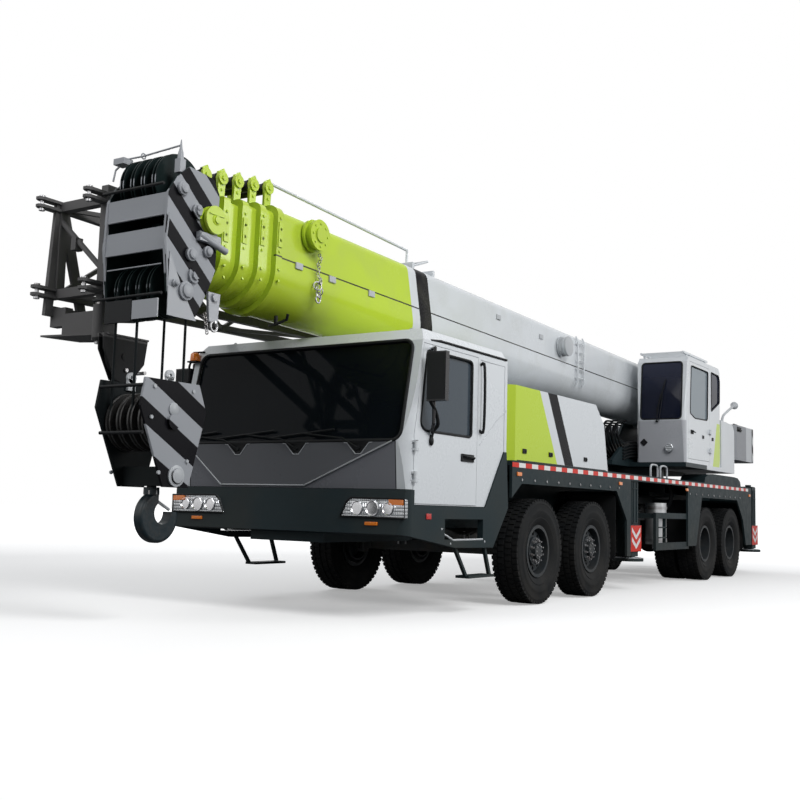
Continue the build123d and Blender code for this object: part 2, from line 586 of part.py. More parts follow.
def cab_interior():
    floor = CAB_BOTTOM + CAB_WALL
    inside = CAB_HALF_WIDTH - CAB_WALL - 30
    dash = [(SILL_Y + 170, floor), (SILL_Y + 130, SILL_Z - 60), (SILL_Y + 420, SILL_Z - 30),
            (SILL_Y + 480, SILL_Z - 160), (SILL_Y + 380, SILL_Z - 240), (SILL_Y + 330, floor)]
    shape = across(dash, -inside + 10, inside - 10)
    x, rim_radius = 720, 220
    wheel_centre = (x, SILL_Y + 640, SILL_Z + 30)
    column = rod((720, SILL_Y + 330, SILL_Z - 220), wheel_centre, 32)
    rim = Plane(origin=wheel_centre, z_dir=(0, 240, 200)) * Torus(rim_radius, 16)
    spokes = bar((x - rim_radius, *wheel_centre[1:]), (x + rim_radius, *wheel_centre[1:]), 26)
    shape += column + rim + spokes
    seats = [seat(x, SILL_Y + 1130, floor) for x in (720, -720)]
    return Compound([shape] + seats)


def bumper():
    side = [(BUMPER_FRONT, BUMPER_TOP), (BUMPER_FRONT - 40, 750), (-1900, 630), (-1160, 620),
            (-850, CAB_BOTTOM - 5), (SILL_Y + 90 - 5, CAB_BOTTOM - 5), (SILL_Y + 90 - 5, BUMPER_TOP)]
    shape = across(side, -HALF_WIDTH, HALF_WIDTH)
    rounding = RectangleRounded(2 * HALF_WIDTH, 6000, 110)
    shape &= extrude(Pos(0, BUMPER_FRONT - 40 + 3000, 0) * rounding, amount=2000)
    inside = HALF_WIDTH - BUMPER_WALL
    shape -= block((-inside, inside), (FRAME_WALL_FRONT, 0), (500, BUMPER_TOP + 10))
    recess = block((inside - 10, HALF_WIDTH + 10), (-2090, -1370), (700, 890))
    tread = block((inside - 120, HALF_WIDTH - 5), (-2090, -1370), (680, 700))
    step_x = (HALF_WIDTH - 60, HALF_WIDTH - 30)
    step = block((HALF_WIDTH - 150, HALF_WIDTH - 5), (-1620, -1120), (340, 365))
    step += across([(-1860, 640), (-1820, 640), (-1580, 345), (-1620, 345)], *step_x)
    step += across([(-1290, 640), (-1250, 640), (-1125, 345), (-1165, 345)], *step_x)
    fairing = across([(-1330, CAB_BOTTOM - 5), (-950, 1560), (-900, 1560), (-850, CAB_BOTTOM - 5)],
                     CAB_HALF_WIDTH + FLAT_FIT, HALF_WIDTH)
    shape -= both_sides(recess)
    return shape + both_sides(tread + step + fairing)


def hood():
    """Engine housing behind the cab, open to the deck below."""
    def form(inset):
        side = [(HOOD_FRONT, DECK_TOP), (HOOD_FRONT, HOOD_TOP), (1950, HOOD_TOP), (2220, 2090),
                (HOOD_REAR, DECK_TOP)]
        outline = make_face(Polyline(*[(0, y, z) for y, z in side], close=True))
        if inset:
            outline = offset(outline, -inset, kind=Kind.INTERSECTION)
            outline += make_face(Polyline((0, HOOD_FRONT + inset, DECK_TOP - 10), (0, HOOD_FRONT + inset, DECK_TOP + 100),
                                          (0, HOOD_REAR - 100, DECK_TOP + 100), (0, HOOD_REAR - 80, DECK_TOP - 10), close=True))
        body = extrude(outline, amount=HOOD_HALF_WIDTH - inset, dir=(1, 0, 0), both=True)
        cut = 230
        x, y = HOOD_HALF_WIDTH - inset, HOOD_FRONT + inset
        plan = [(-x, y + cut), (-x + cut, y), (x - cut, y), (x, y + cut), (x, HOOD_REAR + 10), (-x, HOOD_REAR + 10)]
        return body & upward(plan, DECK_TOP - 20, HOOD_TOP + 20)
    return form(0) - form(HOOD_WALL)


def engine():
    """Engine with its cover, manifold and fan, and the radiator ahead of it."""
    base = DECK_TOP
    shape = block((-330, 330), (100, 1500), (base, base + 420))
    shape += block((-220, 220), (160, 1440), (base + 420, base + 600))
    shape += rod((250, 240, base + 480), (250, 1360, base + 480), 55)
    shape += rod((0, -60, base + 330), (0, 110, base + 330), 60)
    shape += rod((0, -60, base + 330), (0, -40, base + 330), 300)
    radiator = block((-600, 600), (-320, -220), (base, base + 680))
    return Compound([shape, radiator])


# ---------------------------------------------------------------- superstructure
def platform():
    plate = upward([(-WEB_INSIDE - WEB_THICK, 4350), (WEB_INSIDE + WEB_THICK, 4350),
                    (WEB_INSIDE + WEB_THICK, 5050), (UPPER_HALF_WIDTH, 5050), (UPPER_HALF_WIDTH, 7660),
                    (WEB_INSIDE + WEB_THICK, 7660), (WEB_INSIDE + WEB_THICK, 9000),
                    (-WEB_INSIDE - WEB_THICK, 9000), (-WEB_INSIDE - WEB_THICK, 7660),
                    (-UPPER_HALF_WIDTH, 7660), (-UPPER_HALF_WIDTH, 6000), (-WEB_INSIDE - WEB_THICK, 5500)],
                   PLATE_BOTTOM, PLATE_TOP)
    plate += rod((0, SLEW_Y, RING_TOP + FLAT_FIT), (0, SLEW_Y, PLATE_BOTTOM), RING_RADIUS - 20)
    web = [(4350, PLATE_TOP), (4700, 1980), (6600, 2180), (7150, 2790), (7750, 2790), (7950, 2400),
           (8250, 2400), (8380, WINCH_Z + 110), (8660, WINCH_Z + 110), (8900, 2250), (9000, PLATE_TOP)]
    webs = across(web, WEB_INSIDE, WEB_INSIDE + WEB_THICK)
    webs -= rod((0, WINCH_Y, WINCH_Z), (600, WINCH_Y, WINCH_Z), WINCH_SHAFT_RADIUS + RUN_FIT)
    box = [(6890, PLATE_TOP), (6890, 2550), (7560, 2520), (7660, 2420), (7660, PLATE_TOP)]
    boxes = across(box, WEB_INSIDE + WEB_THICK, UPPER_HALF_WIDTH)
    right_box = mirror(across([(6100, PLATE_TOP), (6100, 2350), (7560, 2350), (7660, 2250), (7660, PLATE_TOP)],
                              WEB_INSIDE + WEB_THICK, UPPER_HALF_WIDTH), about=Plane.YZ)
    shape = plate + both_sides(webs) + boxes + right_box
    end = WEB_INSIDE + WEB_THICK
    shape += rod((-end, BOOM_PIN_Y, BOOM_PIN_Z), (end, BOOM_PIN_Y, BOOM_PIN_Z), BOOM_PIN_RADIUS)
    shape += rod((-end, LIFT_FOOT_Y, LIFT_FOOT_Z), (end, LIFT_FOOT_Y, LIFT_FOOT_Z), LIFT_PIN_RADIUS)
    return shape


def winch():
    inside = WEB_INSIDE - CLEAR
    drum = rod((-inside + 30, WINCH_Y, WINCH_Z), (inside - 30, WINCH_Y, WINCH_Z), 170)
    for x in ((-inside, -inside + 25), (inside - 25, inside)):
        drum += rod((x[0], WINCH_Y, WINCH_Z), (x[1], WINCH_Y, WINCH_Z), 250)
    end = WEB_INSIDE + WEB_THICK
    return drum + rod((-end, WINCH_Y, WINCH_Z), (end, WINCH_Y, WINCH_Z), WINCH_SHAFT_RADIUS)


def counterweight():
    inner = WEB_INSIDE + WEB_THICK
    slab = block((-UPPER_HALF_WIDTH, UPPER_HALF_WIDTH), (7700, 9040), (1950, 2550))
    corner = Pos(0, 7700 + 670, 0) * RectangleRounded(2 * UPPER_HALF_WIDTH, 1340, 160)
    slab &= extrude(Pos(0, 0, 1900) * corner, amount=800)
    return slab - block((-inner, inner), (7600, 9000), (1900, 2600))


OPERATOR_X = (530, UPPER_HALF_WIDTH)
OPERATOR_Y = (5050, 6880)
OPERATOR_TOP = 3380
OPERATOR_WALL = 45
OPERATOR_PILLAR = 70              # from the cab's side to its front window


def operator_solid(inset):
    x0, x1 = OPERATOR_X
    front, rear = OPERATOR_Y
    side = [(front + 15, PLATE_TOP), (front, 2440), (front + 70, OPERATOR_TOP - 80),
            (front + 150, OPERATOR_TOP), (rear - 130, OPERATOR_TOP), (rear, OPERATOR_TOP - 130), (rear, PLATE_TOP)]
    outline = make_face(Polyline(*[(x0 + inset, y, z) for y, z in side], close=True))
    if inset:
        outline = offset(outline, -inset, kind=Kind.INTERSECTION)
    body = extrude(outline, amount=x1 - x0 - 2 * inset, dir=(1, 0, 0))
    corner = max(80 - inset, 10)
    plan = RectangleRounded(x1 - x0 - 2 * inset, rear - front - 2 * inset, corner)
    return body & extrude(Pos((x0 + x1) / 2, (front + rear) / 2, 1000) * plan, amount=3000)


OPERATOR_DOOR = [(5170, PLATE_TOP + 60), (5170, 2440), (5230, OPERATOR_TOP - 70), (6250, OPERATOR_TOP - 70),
                 (6250, PLATE_TOP + 60)]
OPERATOR_WINDOW = [(5250, 2520), (5310, OPERATOR_TOP - 130), (6170, OPERATOR_TOP - 130), (6130, 2480), (5500, 2460)]
QUARTER_WINDOW = [(6340, 2640), (6340, OPERATOR_TOP - 110), (6740, OPERATOR_TOP - 120), (6800, OPERATOR_TOP - 200),
                  (6790, 2820)]
OPERATOR_HINGE_Y, OPERATOR_HINGE_X = 6252, UPPER_HALF_WIDTH + 20
OPERATOR_HINGE_Z = (2000, 2300)


def operator_cab():
    x1 = UPPER_HALF_WIDTH
    shell = operator_solid(0) - operator_solid(OPERATOR_WALL)
    skin = operator_solid(12) - operator_solid(12 + GLASS)
    hole = (x1 - OPERATOR_WALL - 30, x1 + 30)
    middle = (OPERATOR_X[0] + x1) / 2
    front_x = (OPERATOR_X[0] + OPERATOR_PILLAR, x1 - OPERATOR_PILLAR)
    front_z = (2420, OPERATOR_TOP - 90)
    front = window_along(front_x, front_z, 60, 4900, 5250)
    front_pane = window_along((front_x[0] + FLAT_FIT, front_x[1] - FLAT_FIT), (front_z[0] + FLAT_FIT, front_z[1] - FLAT_FIT),
                              60, 4900, 5250)
    quarter = outline_across(QUARTER_WINDOW, 0, *hole)
    door = shell & outline_across(OPERATOR_DOOR, -DOOR_GAP, *hole)
    door -= outline_across(OPERATOR_WINDOW, 0, *hole)
    parts["operator_door_glass"] = skin & outline_across(OPERATOR_WINDOW, -FLAT_FIT, *hole)
    parts["operator_glass"] = (skin & front_pane) + (skin & outline_across(QUARTER_WINDOW, -FLAT_FIT, *hole))
    shell -= front
    shell -= quarter
    shell -= outline_across(OPERATOR_DOOR, 0, *hole)
    for z in OPERATOR_HINGE_Z:
        x, y, r = OPERATOR_HINGE_X, OPERATOR_HINGE_Y, HINGE_RADIUS
        pin = rod((x, y, z - 45), (x, y, z + 45), r)
        for low in (z - 45, z + 25):
            pin += rod((x, y, low), (x, y, low + 20), r + 8)
            pin += block((x1 - 20, x), (y, y + 17), (low, low + 20))
        shell += pin
        span = (z - 25 + FLAT_FIT, z + 25 - FLAT_FIT)
        leaf = rod((x, y, span[0]), (x, y, span[1]), r + 8)
        leaf += block((x1 - 20, x), (y - 60, y - 2 - DOOR_GAP), span)
        leaf += block((x - 6, x + 8), (y - 60, y), span)
        door += leaf - rod((x, y, span[0]), (x, y, span[1]), r + RUN_FIT)
    # roof guard: side bars and slats over the top window
    for x in (OPERATOR_X[0] + 60, x1 - 60):
        shell += block((x - 15, x + 15), (5100, 6300), (OPERATOR_TOP + 40, OPERATOR_TOP + 70))
        for y in (5260, 6200):
            shell += block((x - 15, x + 15), (y - 15, y + 15), (OPERATOR_TOP - 5, OPERATOR_TOP + 41))
    for y in range(5120, 6301, 130):
        shell += block((OPERATOR_X[0] + 60, x1 - 60), (y - 9, y + 9), (OPERATOR_TOP + 45, OPERATOR_TOP + 65))
    parts["operator_cab"] = shell
    parts["operator_door"] = door
    parts["operator_seat"] = seat(middle, 6050, PLATE_TOP + OPERATOR_WALL)


# ---------------------------------------------------------------- boom
EAR_X = (190, 215)
LIME_REEL = (-2890, 3420, 150)    # y, z and radius of the reels on the base section
GREY_REEL = (2600, 3200, 130)
GUIDE_TUBE_END = -1040

# The boom is drawn level with its foot pin at the origin: back is +y, up is +z.
PIN_BELOW_SEAM = (SEAM_Z_AT_AXLE_1 - BOOM_PIN_Z) - BOOM_PIN_Y * sin(radians(BOOM_TILT)) / cos(radians(BOOM_TILT))
SEAM = PIN_BELOW_SEAM * cos(radians(BOOM_TILT))


def boom_z(y, above_seam):
    """Height above the ground of a line of the stowed boom at y."""
    return SEAM_Z_AT_AXLE_1 - y * sin(radians(BOOM_TILT)) / cos(radians(BOOM_TILT)) + above_seam


def stowed(shape):
    """Put a piece drawn in the boom's own frame on the crane."""
    return Pos(0, BOOM_PIN_Y, BOOM_PIN_Z) * Rotation(-BOOM_TILT, 0, 0) * shape


def boom_frame(y, z):
    """A point of the stowed crane in the boom's own frame."""
    a = radians(BOOM_TILT)
    dy, dz = y - BOOM_PIN_Y, z - BOOM_PIN_Z
    return dy * cos(a) - dz * sin(a), dy * sin(a) + dz * cos(a)


def profile(inset):
    """Section of the boom: flat top with round corners, straight sides and a round belly."""
    half = BOOM_HALF_WIDTH - inset
    top = SEAM + BOOM_ABOVE_SEAM - inset
    bottom = SEAM - BOOM_BELOW_SEAM + inset
    side_end = bottom + half
    corner = max(BOOM_CORNER - inset, 20)
    edges = [
        Line((-half, side_end), (-half, top - corner)),
        RadiusArc((-half, top - corner), (-half + corner, top), corner),
        Line((-half + corner, top), (half - corner, top)),
        RadiusArc((half - corner, top), (half, top - corner), corner),
        Line((half, top - corner), (half, side_end)),
        ThreePointArc((half, side_end), (0, bottom), (-half, side_end)),
    ]
    return make_face(Wire(edges))


def prism(inset, y0, y1):
    """Solid of the boom's section between two places along it."""
    face = Plane(origin=(0, y1, 0), x_dir=(1, 0, 0), z_dir=(0, -1, 0)) * profile(inset)
    return extrude(face, amount=y1 - y0, dir=(0, -1, 0))


def section_front(number):
    return BASE_FRONT - BOOM_PIN_Y - number * SECTION_REACH


def boom_section(number):
    """Telescopic section: tube, collar at the front, slide pads at the tail."""
    inset = number * SECTION_STEP
    front = section_front(number)
    tail = (BASE_TAIL if number == 0 else SECTION_TAIL) - BOOM_PIN_Y
    last = number == SECTIONS - 1
    shape = prism(inset, front, tail) - prism(inset + BOOM_WALL, front - 1, tail + 1)
    collar = prism(inset - COLLAR_HEIGHT, front, front + COLLAR_LENGTH)
    if last:
        shape += collar
    else:
        shape += collar - prism(inset + SECTION_STEP - RUN_FIT, front - 1, front + COLLAR_LENGTH + 1)
    if number:
        pads = prism(inset - (SECTION_STEP - BOOM_WALL) + RUN_FIT, tail - 120, tail)
        shape += pads - prism(inset + BOOM_WALL, tail - 121, tail + 1)
    # ears on the collar, with the rope roller between them
    top = SEAM + BOOM_ABOVE_SEAM - inset
    ear = across([(front, top - 10), (front, top + 250), (front + 60, top + 290), (front + 90, top + 250),
                  (front + COLLAR_LENGTH, top - 10)], *EAR_X)
    shape += both_sides(ear) + rod((-200, front + 45, top + 200), (200, front + 45, top + 200), 45)
    return shape


def reel(y, z, radius):
    """Cable reel on the left side of the base section, at a place of the stowed crane."""
    reel_y, reel_z = boom_frame(y, z)
    shape = None
    face = BOOM_HALF_WIDTH - BOOM_WALL / 2
    for start, end, share in ((0, 25, 0.5), (20, 45, 1.0), (45, 95, 0.8), (95, 120, 0.95), (120, 135, 0.45)):
        step = rod((face + start, reel_y, reel_z), (face + end, reel_y, reel_z), radius * share)
        shape = step if shape is None else shape + step
    return shape


def guide_tube():
    """Thin tube that runs back over the base section from its collar's ear to a post."""
    x = EAR_X[0] + 12
    top = SEAM + BOOM_ABOVE_SEAM
    start = (x, section_front(0) + 60, top + 255)
    end_y = GUIDE_TUBE_END - BOOM_PIN_Y
    end = (x, end_y, top + 205)
    return rod(start, end, 14) + rod((x, end_y, top - 5), end, 14) + (Pos(*end) * Sphere(14))


def base_boom():
    shape = boom_section(0)
    shape += reel(*LIME_REEL) + reel(*GREY_REEL)
    shape += guide_tube()
    end = WEB_INSIDE - CLEAR
    boss = tube((-end, 0, 0), (end, 0, 0), BOOM_PIN_RADIUS + 60, BOOM_PIN_RADIUS + RUN_FIT)
    shape -= rod((-end - 10, 0, 0), (end + 10, 0, 0), BOOM_PIN_RADIUS + 50)
    shape += boss
    eye_y, eye_z = boom_frame(LIFT_EYE_Y, LIFT_EYE_Z)
    floor = SEAM - BOOM_BELOW_SEAM
    cheek = across([(eye_y - 320, floor + 60), (eye_y - 60, eye_z - 90), (eye_y + 60, eye_z - 90),
                    (eye_y + 320, floor + 60)], LIFT_CHEEK_X, LIFT_CHEEK_X + 35)
    cheek -= prism(BOOM_WALL / 2, eye_y - 400, eye_y + 400)
    cheek += rod((LIFT_CHEEK_X + 35, eye_y, eye_z), (LIFT_CHEEK_X + 60, eye_y, eye_z), 75)
    return shape + both_sides(cheek)


def lift_cylinder():
    """Luffing cylinder, drawn from its foot pin to the eye under the boom."""
    line = Vector(0, LIFT_EYE_Y - LIFT_FOOT_Y, LIFT_EYE_Z - LIFT_FOOT_Z)
    unit = line.normalized()
    foot, eye = Vector(0, LIFT_FOOT_Y, LIFT_FOOT_Z), Vector(0, LIFT_EYE_Y, LIFT_EYE_Z)
    mouth = eye - unit * BARREL_END
    side = Vector(1, 0, 0)
    half = LIFT_CHEEK_X - PIN_SIDE_GAP
    barrel = rod(foot + unit * 150, mouth, BARREL_RADIUS)
    barrel += rod(foot, foot + unit * 160, 85)
    barrel += rod(foot - side * half, foot + side * half, 110)
    barrel -= rod(foot - side * (half + 1), foot + side * (half + 1), LIFT_PIN_RADIUS + RUN_FIT)
    barrel -= rod(foot + unit * 330, mouth + unit, LIFT_ROD_RADIUS + RUN_FIT)
    rod_shape = rod(foot + unit * 350, eye - unit * 60, LIFT_ROD_RADIUS)
    rod_shape += rod(eye - side * half, eye + side * half, 88)
    rod_shape -= rod(eye - side * (half + 1), eye + side * (half + 1), LIFT_PIN_RADIUS)
    return barrel, rod_shape


def sheaves(y, z, radius, spans):
    """Row of rope sheaves on one shaft."""
    shape = rod((-345, y, z), (345, y, z), 45)
    for x in spans:
        inner, outer = ROPE_RADIUS + PIN_SIDE_GAP, ROPE_RADIUS + PIN_SIDE_GAP + SHEAVE_FLANGE
        for x0, x1 in ((-outer, -inner), (inner, outer)):
            shape += rod((x + x0, y, z), (x + x1, y, z), radius)
        shape += rod((x - outer, y, z), (x + outer, y, z), radius - GROOVE_DEPTH)
    return shape


def boom_head():
    """Head on the innermost section: side plates, front bars and two rows of sheaves."""
    low_y, low_z = boom_frame(HEAD_Y, HEAD_SHEAVE_Z)
    top_y, top_z = boom_frame(HEAD_Y, HEAD_TOP_Z)
    front = section_front(SECTIONS - 1)
    plate = [(front + COLLAR_LENGTH, SEAM + 330), (front + 10, top_z + 40), (low_y - 40, top_z + 60),
             (low_y - 170, top_z - 60), (low_y - 250, top_z - 200), (low_y - 260, low_z + 330),
             (low_y - 200, low_z - 60),
             (low_y - 60, low_z - 230), (low_y + 120, low_z - 200), (front + 20, low_z + 60),
             (front + COLLAR_LENGTH, SEAM - 300)]
    plates = both_sides(across(plate, 325, 350))
    web = block((-330, 330), (front - 10, front + 10), (low_z + 180, top_z - 60))
    shape = plates + web
    for z in ((low_z + 270, low_z + 450), (low_z + 540, low_z + 720)):
        shape += block((-330, 330), (low_y - 245, low_y - 225), z)
    # double lug on the left plate, and the pins that the jib's forks take
    lug_y, lug_z = boom_frame(HEAD_LUG_Y, HEAD_LUG_Z)
    for start, end, radius in ((345, 372, 115), (372, 400, 50), (400, 427, 115)):
        shape += rod((start, lug_y, lug_z), (end, lug_y, lug_z), radius)
    for z in (low_z + 120, low_z + 640):
        shape += both_sides(rod((345, low_y + 60, z), (375, low_y + 60, z), 60))
        shape += both_sides(rod((370, low_y + 60, z), (395, low_y + 60, z), 34))
    shape += sheaves(low_y, low_z, SHEAVE_RADIUS, (-200, -80, 40, 160))
    shape += sheaves(low_y + 20, top_z - 60, SHEAVE_RADIUS + 40, (-200, -80, 40, 160))
    return shape


# falls of rope: (x, side of the sheave they leave)
FALLS = ((-200, -1), (-80, 1), (40, -1), (160, 1))
BLOCK_X = (-270, 220)


def hook_block():
    """Two cheek plates round the lower sheaves, with the rope falls up to the boom head."""
    outline = [(-260, 320), (320, 320), (410, 100), (240, -510), (-30, -510), (-300, 100)]
    y0 = HEAD_Y - 10
    z0 = BLOCK_SHEAVE_Z
    shape = None
    for x in BLOCK_X:
        plate = across([(y0 + y, z0 + z) for y, z in outline], x, x + 22)
        shape = plate if shape is None else shape + plate
    centre = y0 + 40
    for y, z, r in ((centre, z0, 60), (centre + 60, z0 - 420, 60)):
        shape += rod((BLOCK_X[0] - 25, y, z), (BLOCK_X[1] + 47, y, z), r)
    for x, way in FALLS:
        if BLOCK_X[0] < x < BLOCK_X[1]:
            shape += rod((x - 18, HEAD_Y, z0), (x + 18, HEAD_Y, z0), SHEAVE_RADIUS - 20)
            y = HEAD_Y + way * (SHEAVE_RADIUS - GROOVE_DEPTH + ROPE_RADIUS + RUN_FIT)
            shape += rod((x, y, z0 + 10), (x, y, HEAD_SHEAVE_Z), ROPE_RADIUS)
            shape += block((x - 12, x + 12), sorted((HEAD_Y + way * 150, y)), (z0 + 10, z0 + 40))
    shape += block((BLOCK_X[0] + 20, BLOCK_X[1] + 2), (centre - 30, centre + 150), (z0 - 500, z0 - 350))
    return shape - rod((HOOK_X, centre + 60, z0 - 600), (HOOK_X, centre + 60, z0 - 440), HOOK_SHANK + RUN_FIT)


def hook():
    """Forged hook on its swivel: shank, round bowl and tip."""
    z0 = BLOCK_SHEAVE_Z - 510
    shank = rod((HOOK_X, HOOK_Y, z0 - 90), (HOOK_X, HOOK_Y, z0 + 65), HOOK_SHANK)
    shank += rod((HOOK_X, HOOK_Y, z0 - 60), (HOOK_X, HOOK_Y, z0 - FLAT_FIT), 62)
    y, z = HOOK_Y + 60, z0 - 235
    outer = rod((HOOK_X - HOOK_HALF_THICK, y, z), (HOOK_X + HOOK_HALF_THICK, y, z), HOOK_RADIUS)
    bowl_y, bowl_z = y + 30, z + 35
    throat = rod((HOOK_X - 100, bowl_y, bowl_z), (HOOK_X + 100, bowl_y, bowl_z), HOOK_BORE)
    mouth = across([(bowl_y - HOOK_BORE + 40, bowl_z), (bowl_y + 30, bowl_z + 10), (y + 300, z + 40),
                    (y + 300, z + 260), (bowl_y - HOOK_BORE + 40, z + 260)], HOOK_X - 100, HOOK_X + 100)
    crescent = outer - throat - mouth
    crescent = fillet(crescent.edges().filter_by(GeomType.CIRCLE).group_by(SortBy.RADIUS)[-1], 28)
    return crescent + shank


# ---------------------------------------------------------------- folding jib
def jib():
    """Lattice jib folded along the right side of the boom, root end forward."""
    (x0, x1), (z0, z1) = JIB_X, JIB_Z
    front, rear = JIB_FRONT, JIB_REAR
    corners = [(x, z) for x in (x0, x1) for z in (z0, z1)]
    tip = [(x0 + (x - x0) * 0.6 + 100, z0 + (z - z0) * 0.5 + 150) for x, z in corners]

    def at(corner, t):
        (x, z), (tx, tz) = corners[corner], tip[corner]
        return (x + (tx - x) * t, front + (rear - front) * t, z + (tz - z) * t)
    shape = None
    for corner in range(4):
        chord = bar(at(corner, 0), at(corner, 1), 70)
        shape = chord if shape is None else shape + chord
    bays = 9
    faces = ((0, 1), (2, 3), (0, 2), (1, 3))
    for bay in range(bays):
        for a, b in faces:
            first, second = (a, b) if bay % 2 == 0 else (b, a)
            shape += bar(at(first, bay / bays), at(second, (bay + 1) / bays), 36)
    for a, b in faces:
        shape += bar(at(a, 1), at(b, 1), 60)
        shape += bar(at(a, 0), at(b, 0), 80)
    # fork lugs that pin to the boom head when the jib is in use
    tip_y = front - JIB_REACH
    for x, z in corners:
        prong = [(x - 45, front), (x - 45, tip_y + 40), (x - 20, tip_y), (x + 20, tip_y),
                 (x + 45, tip_y + 40), (x + 45, front)]
        for low in (z - 45, z + 20):
            shape += upward(prong, low, low + 25) - rod((x, tip_y + 50, low), (x, tip_y + 50, low + 25), 18)
    return jib_frames(shape, at) + jib_root()


def jib_root():
    """Root frame of the stowed jib: far triangle, near post, hinge box and rope sheave."""
    (far, near), (low, high) = JIB_X, JIB_Z
    front = JIB_FRONT
    triangle = [(front - 70, high + 30), (front + 50, high + 30), (front + 330, low - 80 - JIB_DROP),
                (front - 130, low - 80 - JIB_DROP)]
    opening = [(front + 5, high - 170), (front + 215, low + 10 - JIB_DROP), (front - 50, low + 10 - JIB_DROP)]
    shape = across(triangle, far - 20, far + 20) - across(opening, far - 21, far + 21)
    shape += block((near - 40, near + 40), (front - 50, front + 50), (low - 320 - JIB_DROP, high + 110))
    shape += block((far + 150, near), (front - 50, front + 150), (low - 270 - JIB_DROP, low - 70 - JIB_DROP))
    shape += block((far - 20, far + 170), (front - 40, front + 40), (low - 170 - JIB_DROP, low - 10 - JIB_DROP))
    shape += rod((near + 10, front - 50, low - 330 - JIB_DROP), (near + 10, front - 50, low - 30 - JIB_DROP), 48)
    shelf = [(far + 70, front - 200), (near + 155, front - 60), (near + 155, front + 380), (far + 150, front + 150)]
    shape += upward(shelf, low - 285 - JIB_DROP, low - 270 - JIB_DROP)
    cheek = [(front - 100, low - 275 - JIB_DROP), (front + 380, low - 275 - JIB_DROP), (front + 350, low - 600), (front + 190, low - 790),
             (front + 40, low - 760), (front - 90, low - 520)]
    for x in (near + 75, near + 135):
        shape += across(cheek, x - 8, x + 8)
    axle_y, axle_z = front + 130, low - 560
    shape += rod((near + 60, axle_y, axle_z), (near + 150, axle_y, axle_z), 30)
    shape += rod((near + 92, axle_y, axle_z), (near + 118, axle_y, axle_z), 170)
    shape += block((near + 75, near + 135), (front + 80, front + 200), (low - 900, low - 760))
    return shape


def jib_frames(shape, at):
    """Add the brackets that hold the jib to the side of the base section."""
    for y in JIB_BRACKET_Y:
        bracket_z = boom_z(y, -60)
        t = (y - JIB_FRONT) / (JIB_REAR - JIB_FRONT)
        chord_x = at(2, t)[0]
        shape += block((chord_x - 20, -BOOM_HALF_WIDTH - FLAT_FIT), (y - 40, y + 40), (bracket_z - 40, bracket_z + 40))
        shape += block((chord_x - 30, chord_x + 40), (y - 40, y + 40), (at(2, t)[2], at(3, t)[2]))
    return shape


# ---------------------------------------------------------------- assembly
def build():
    wheels_and_axles()
    y = (CAB_REAR + HOOD_FRONT) / 2
    parts["chassis_frame"] = Compound([frame(), boom_rest()])
    deck, skirts = deck_and_skirts()
    deck -= block((-400, 400), (y - 100, y + 100), (DECK_TOP - DECK_THICK - 1, DECK_TOP + 1))
    parts["side_skirts"] = Compound([deck] + skirts)
    outriggers()
    parts["side_tanks"] = side_tanks()
    cab()
    parts["cab_interior"] = cab_interior()
    parts["front_bumper"] = bumper()
    parts["engine_housing"] = hood()
    parts["engine_block"] = engine()
    parts["slew_platform"] = platform()
    parts["winch_drum"] = winch()
    parts["counterweight"] = counterweight()
    operator_cab()
    parts["boom_base"] = stowed(base_boom())
    for number in range(1, SECTIONS):
        section = boom_section(number)
        if number == SECTIONS - 1:
            section += boom_head()
        parts[f"boom_section_{number + 1}"] = stowed(section)
    parts["lift_barrel"], parts["lift_rod"] = lift_cylinder()
    parts["hook_block"] = hook_block()
    parts["hook"] = hook()
    parts["stowed_jib"] = jib()


if __name__ == "__main__":
    build()
    boxes = [shape.bounding_box() for shape in parts.values()]
    front = min(box.min.Y for box in boxes)
    rear = max(box.max.Y for box in boxes)
    middle = (front + rear) / 2
    os.makedirs("parts", exist_ok=True)
    for name, shape in parts.items():
        export_step(Pos(0, -middle, 0) * shape, f"parts/{name}.step")
    print(f"{len(parts)} pieces, middle of the length {middle:.1f} mm behind the first axle")
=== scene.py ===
"""Finishes and fittings of a four-axle truck crane, built over its fixed frame.

Metres throughout. +x is the crane's left, the crane faces -y and z runs up from the
ground. Every fitting is drawn with y measured back from the first axle, and Model.piece
moves it to the frame's own origin.
"""
import json
import math

import bmesh
import bpy
from mathutils import Matrix, Vector

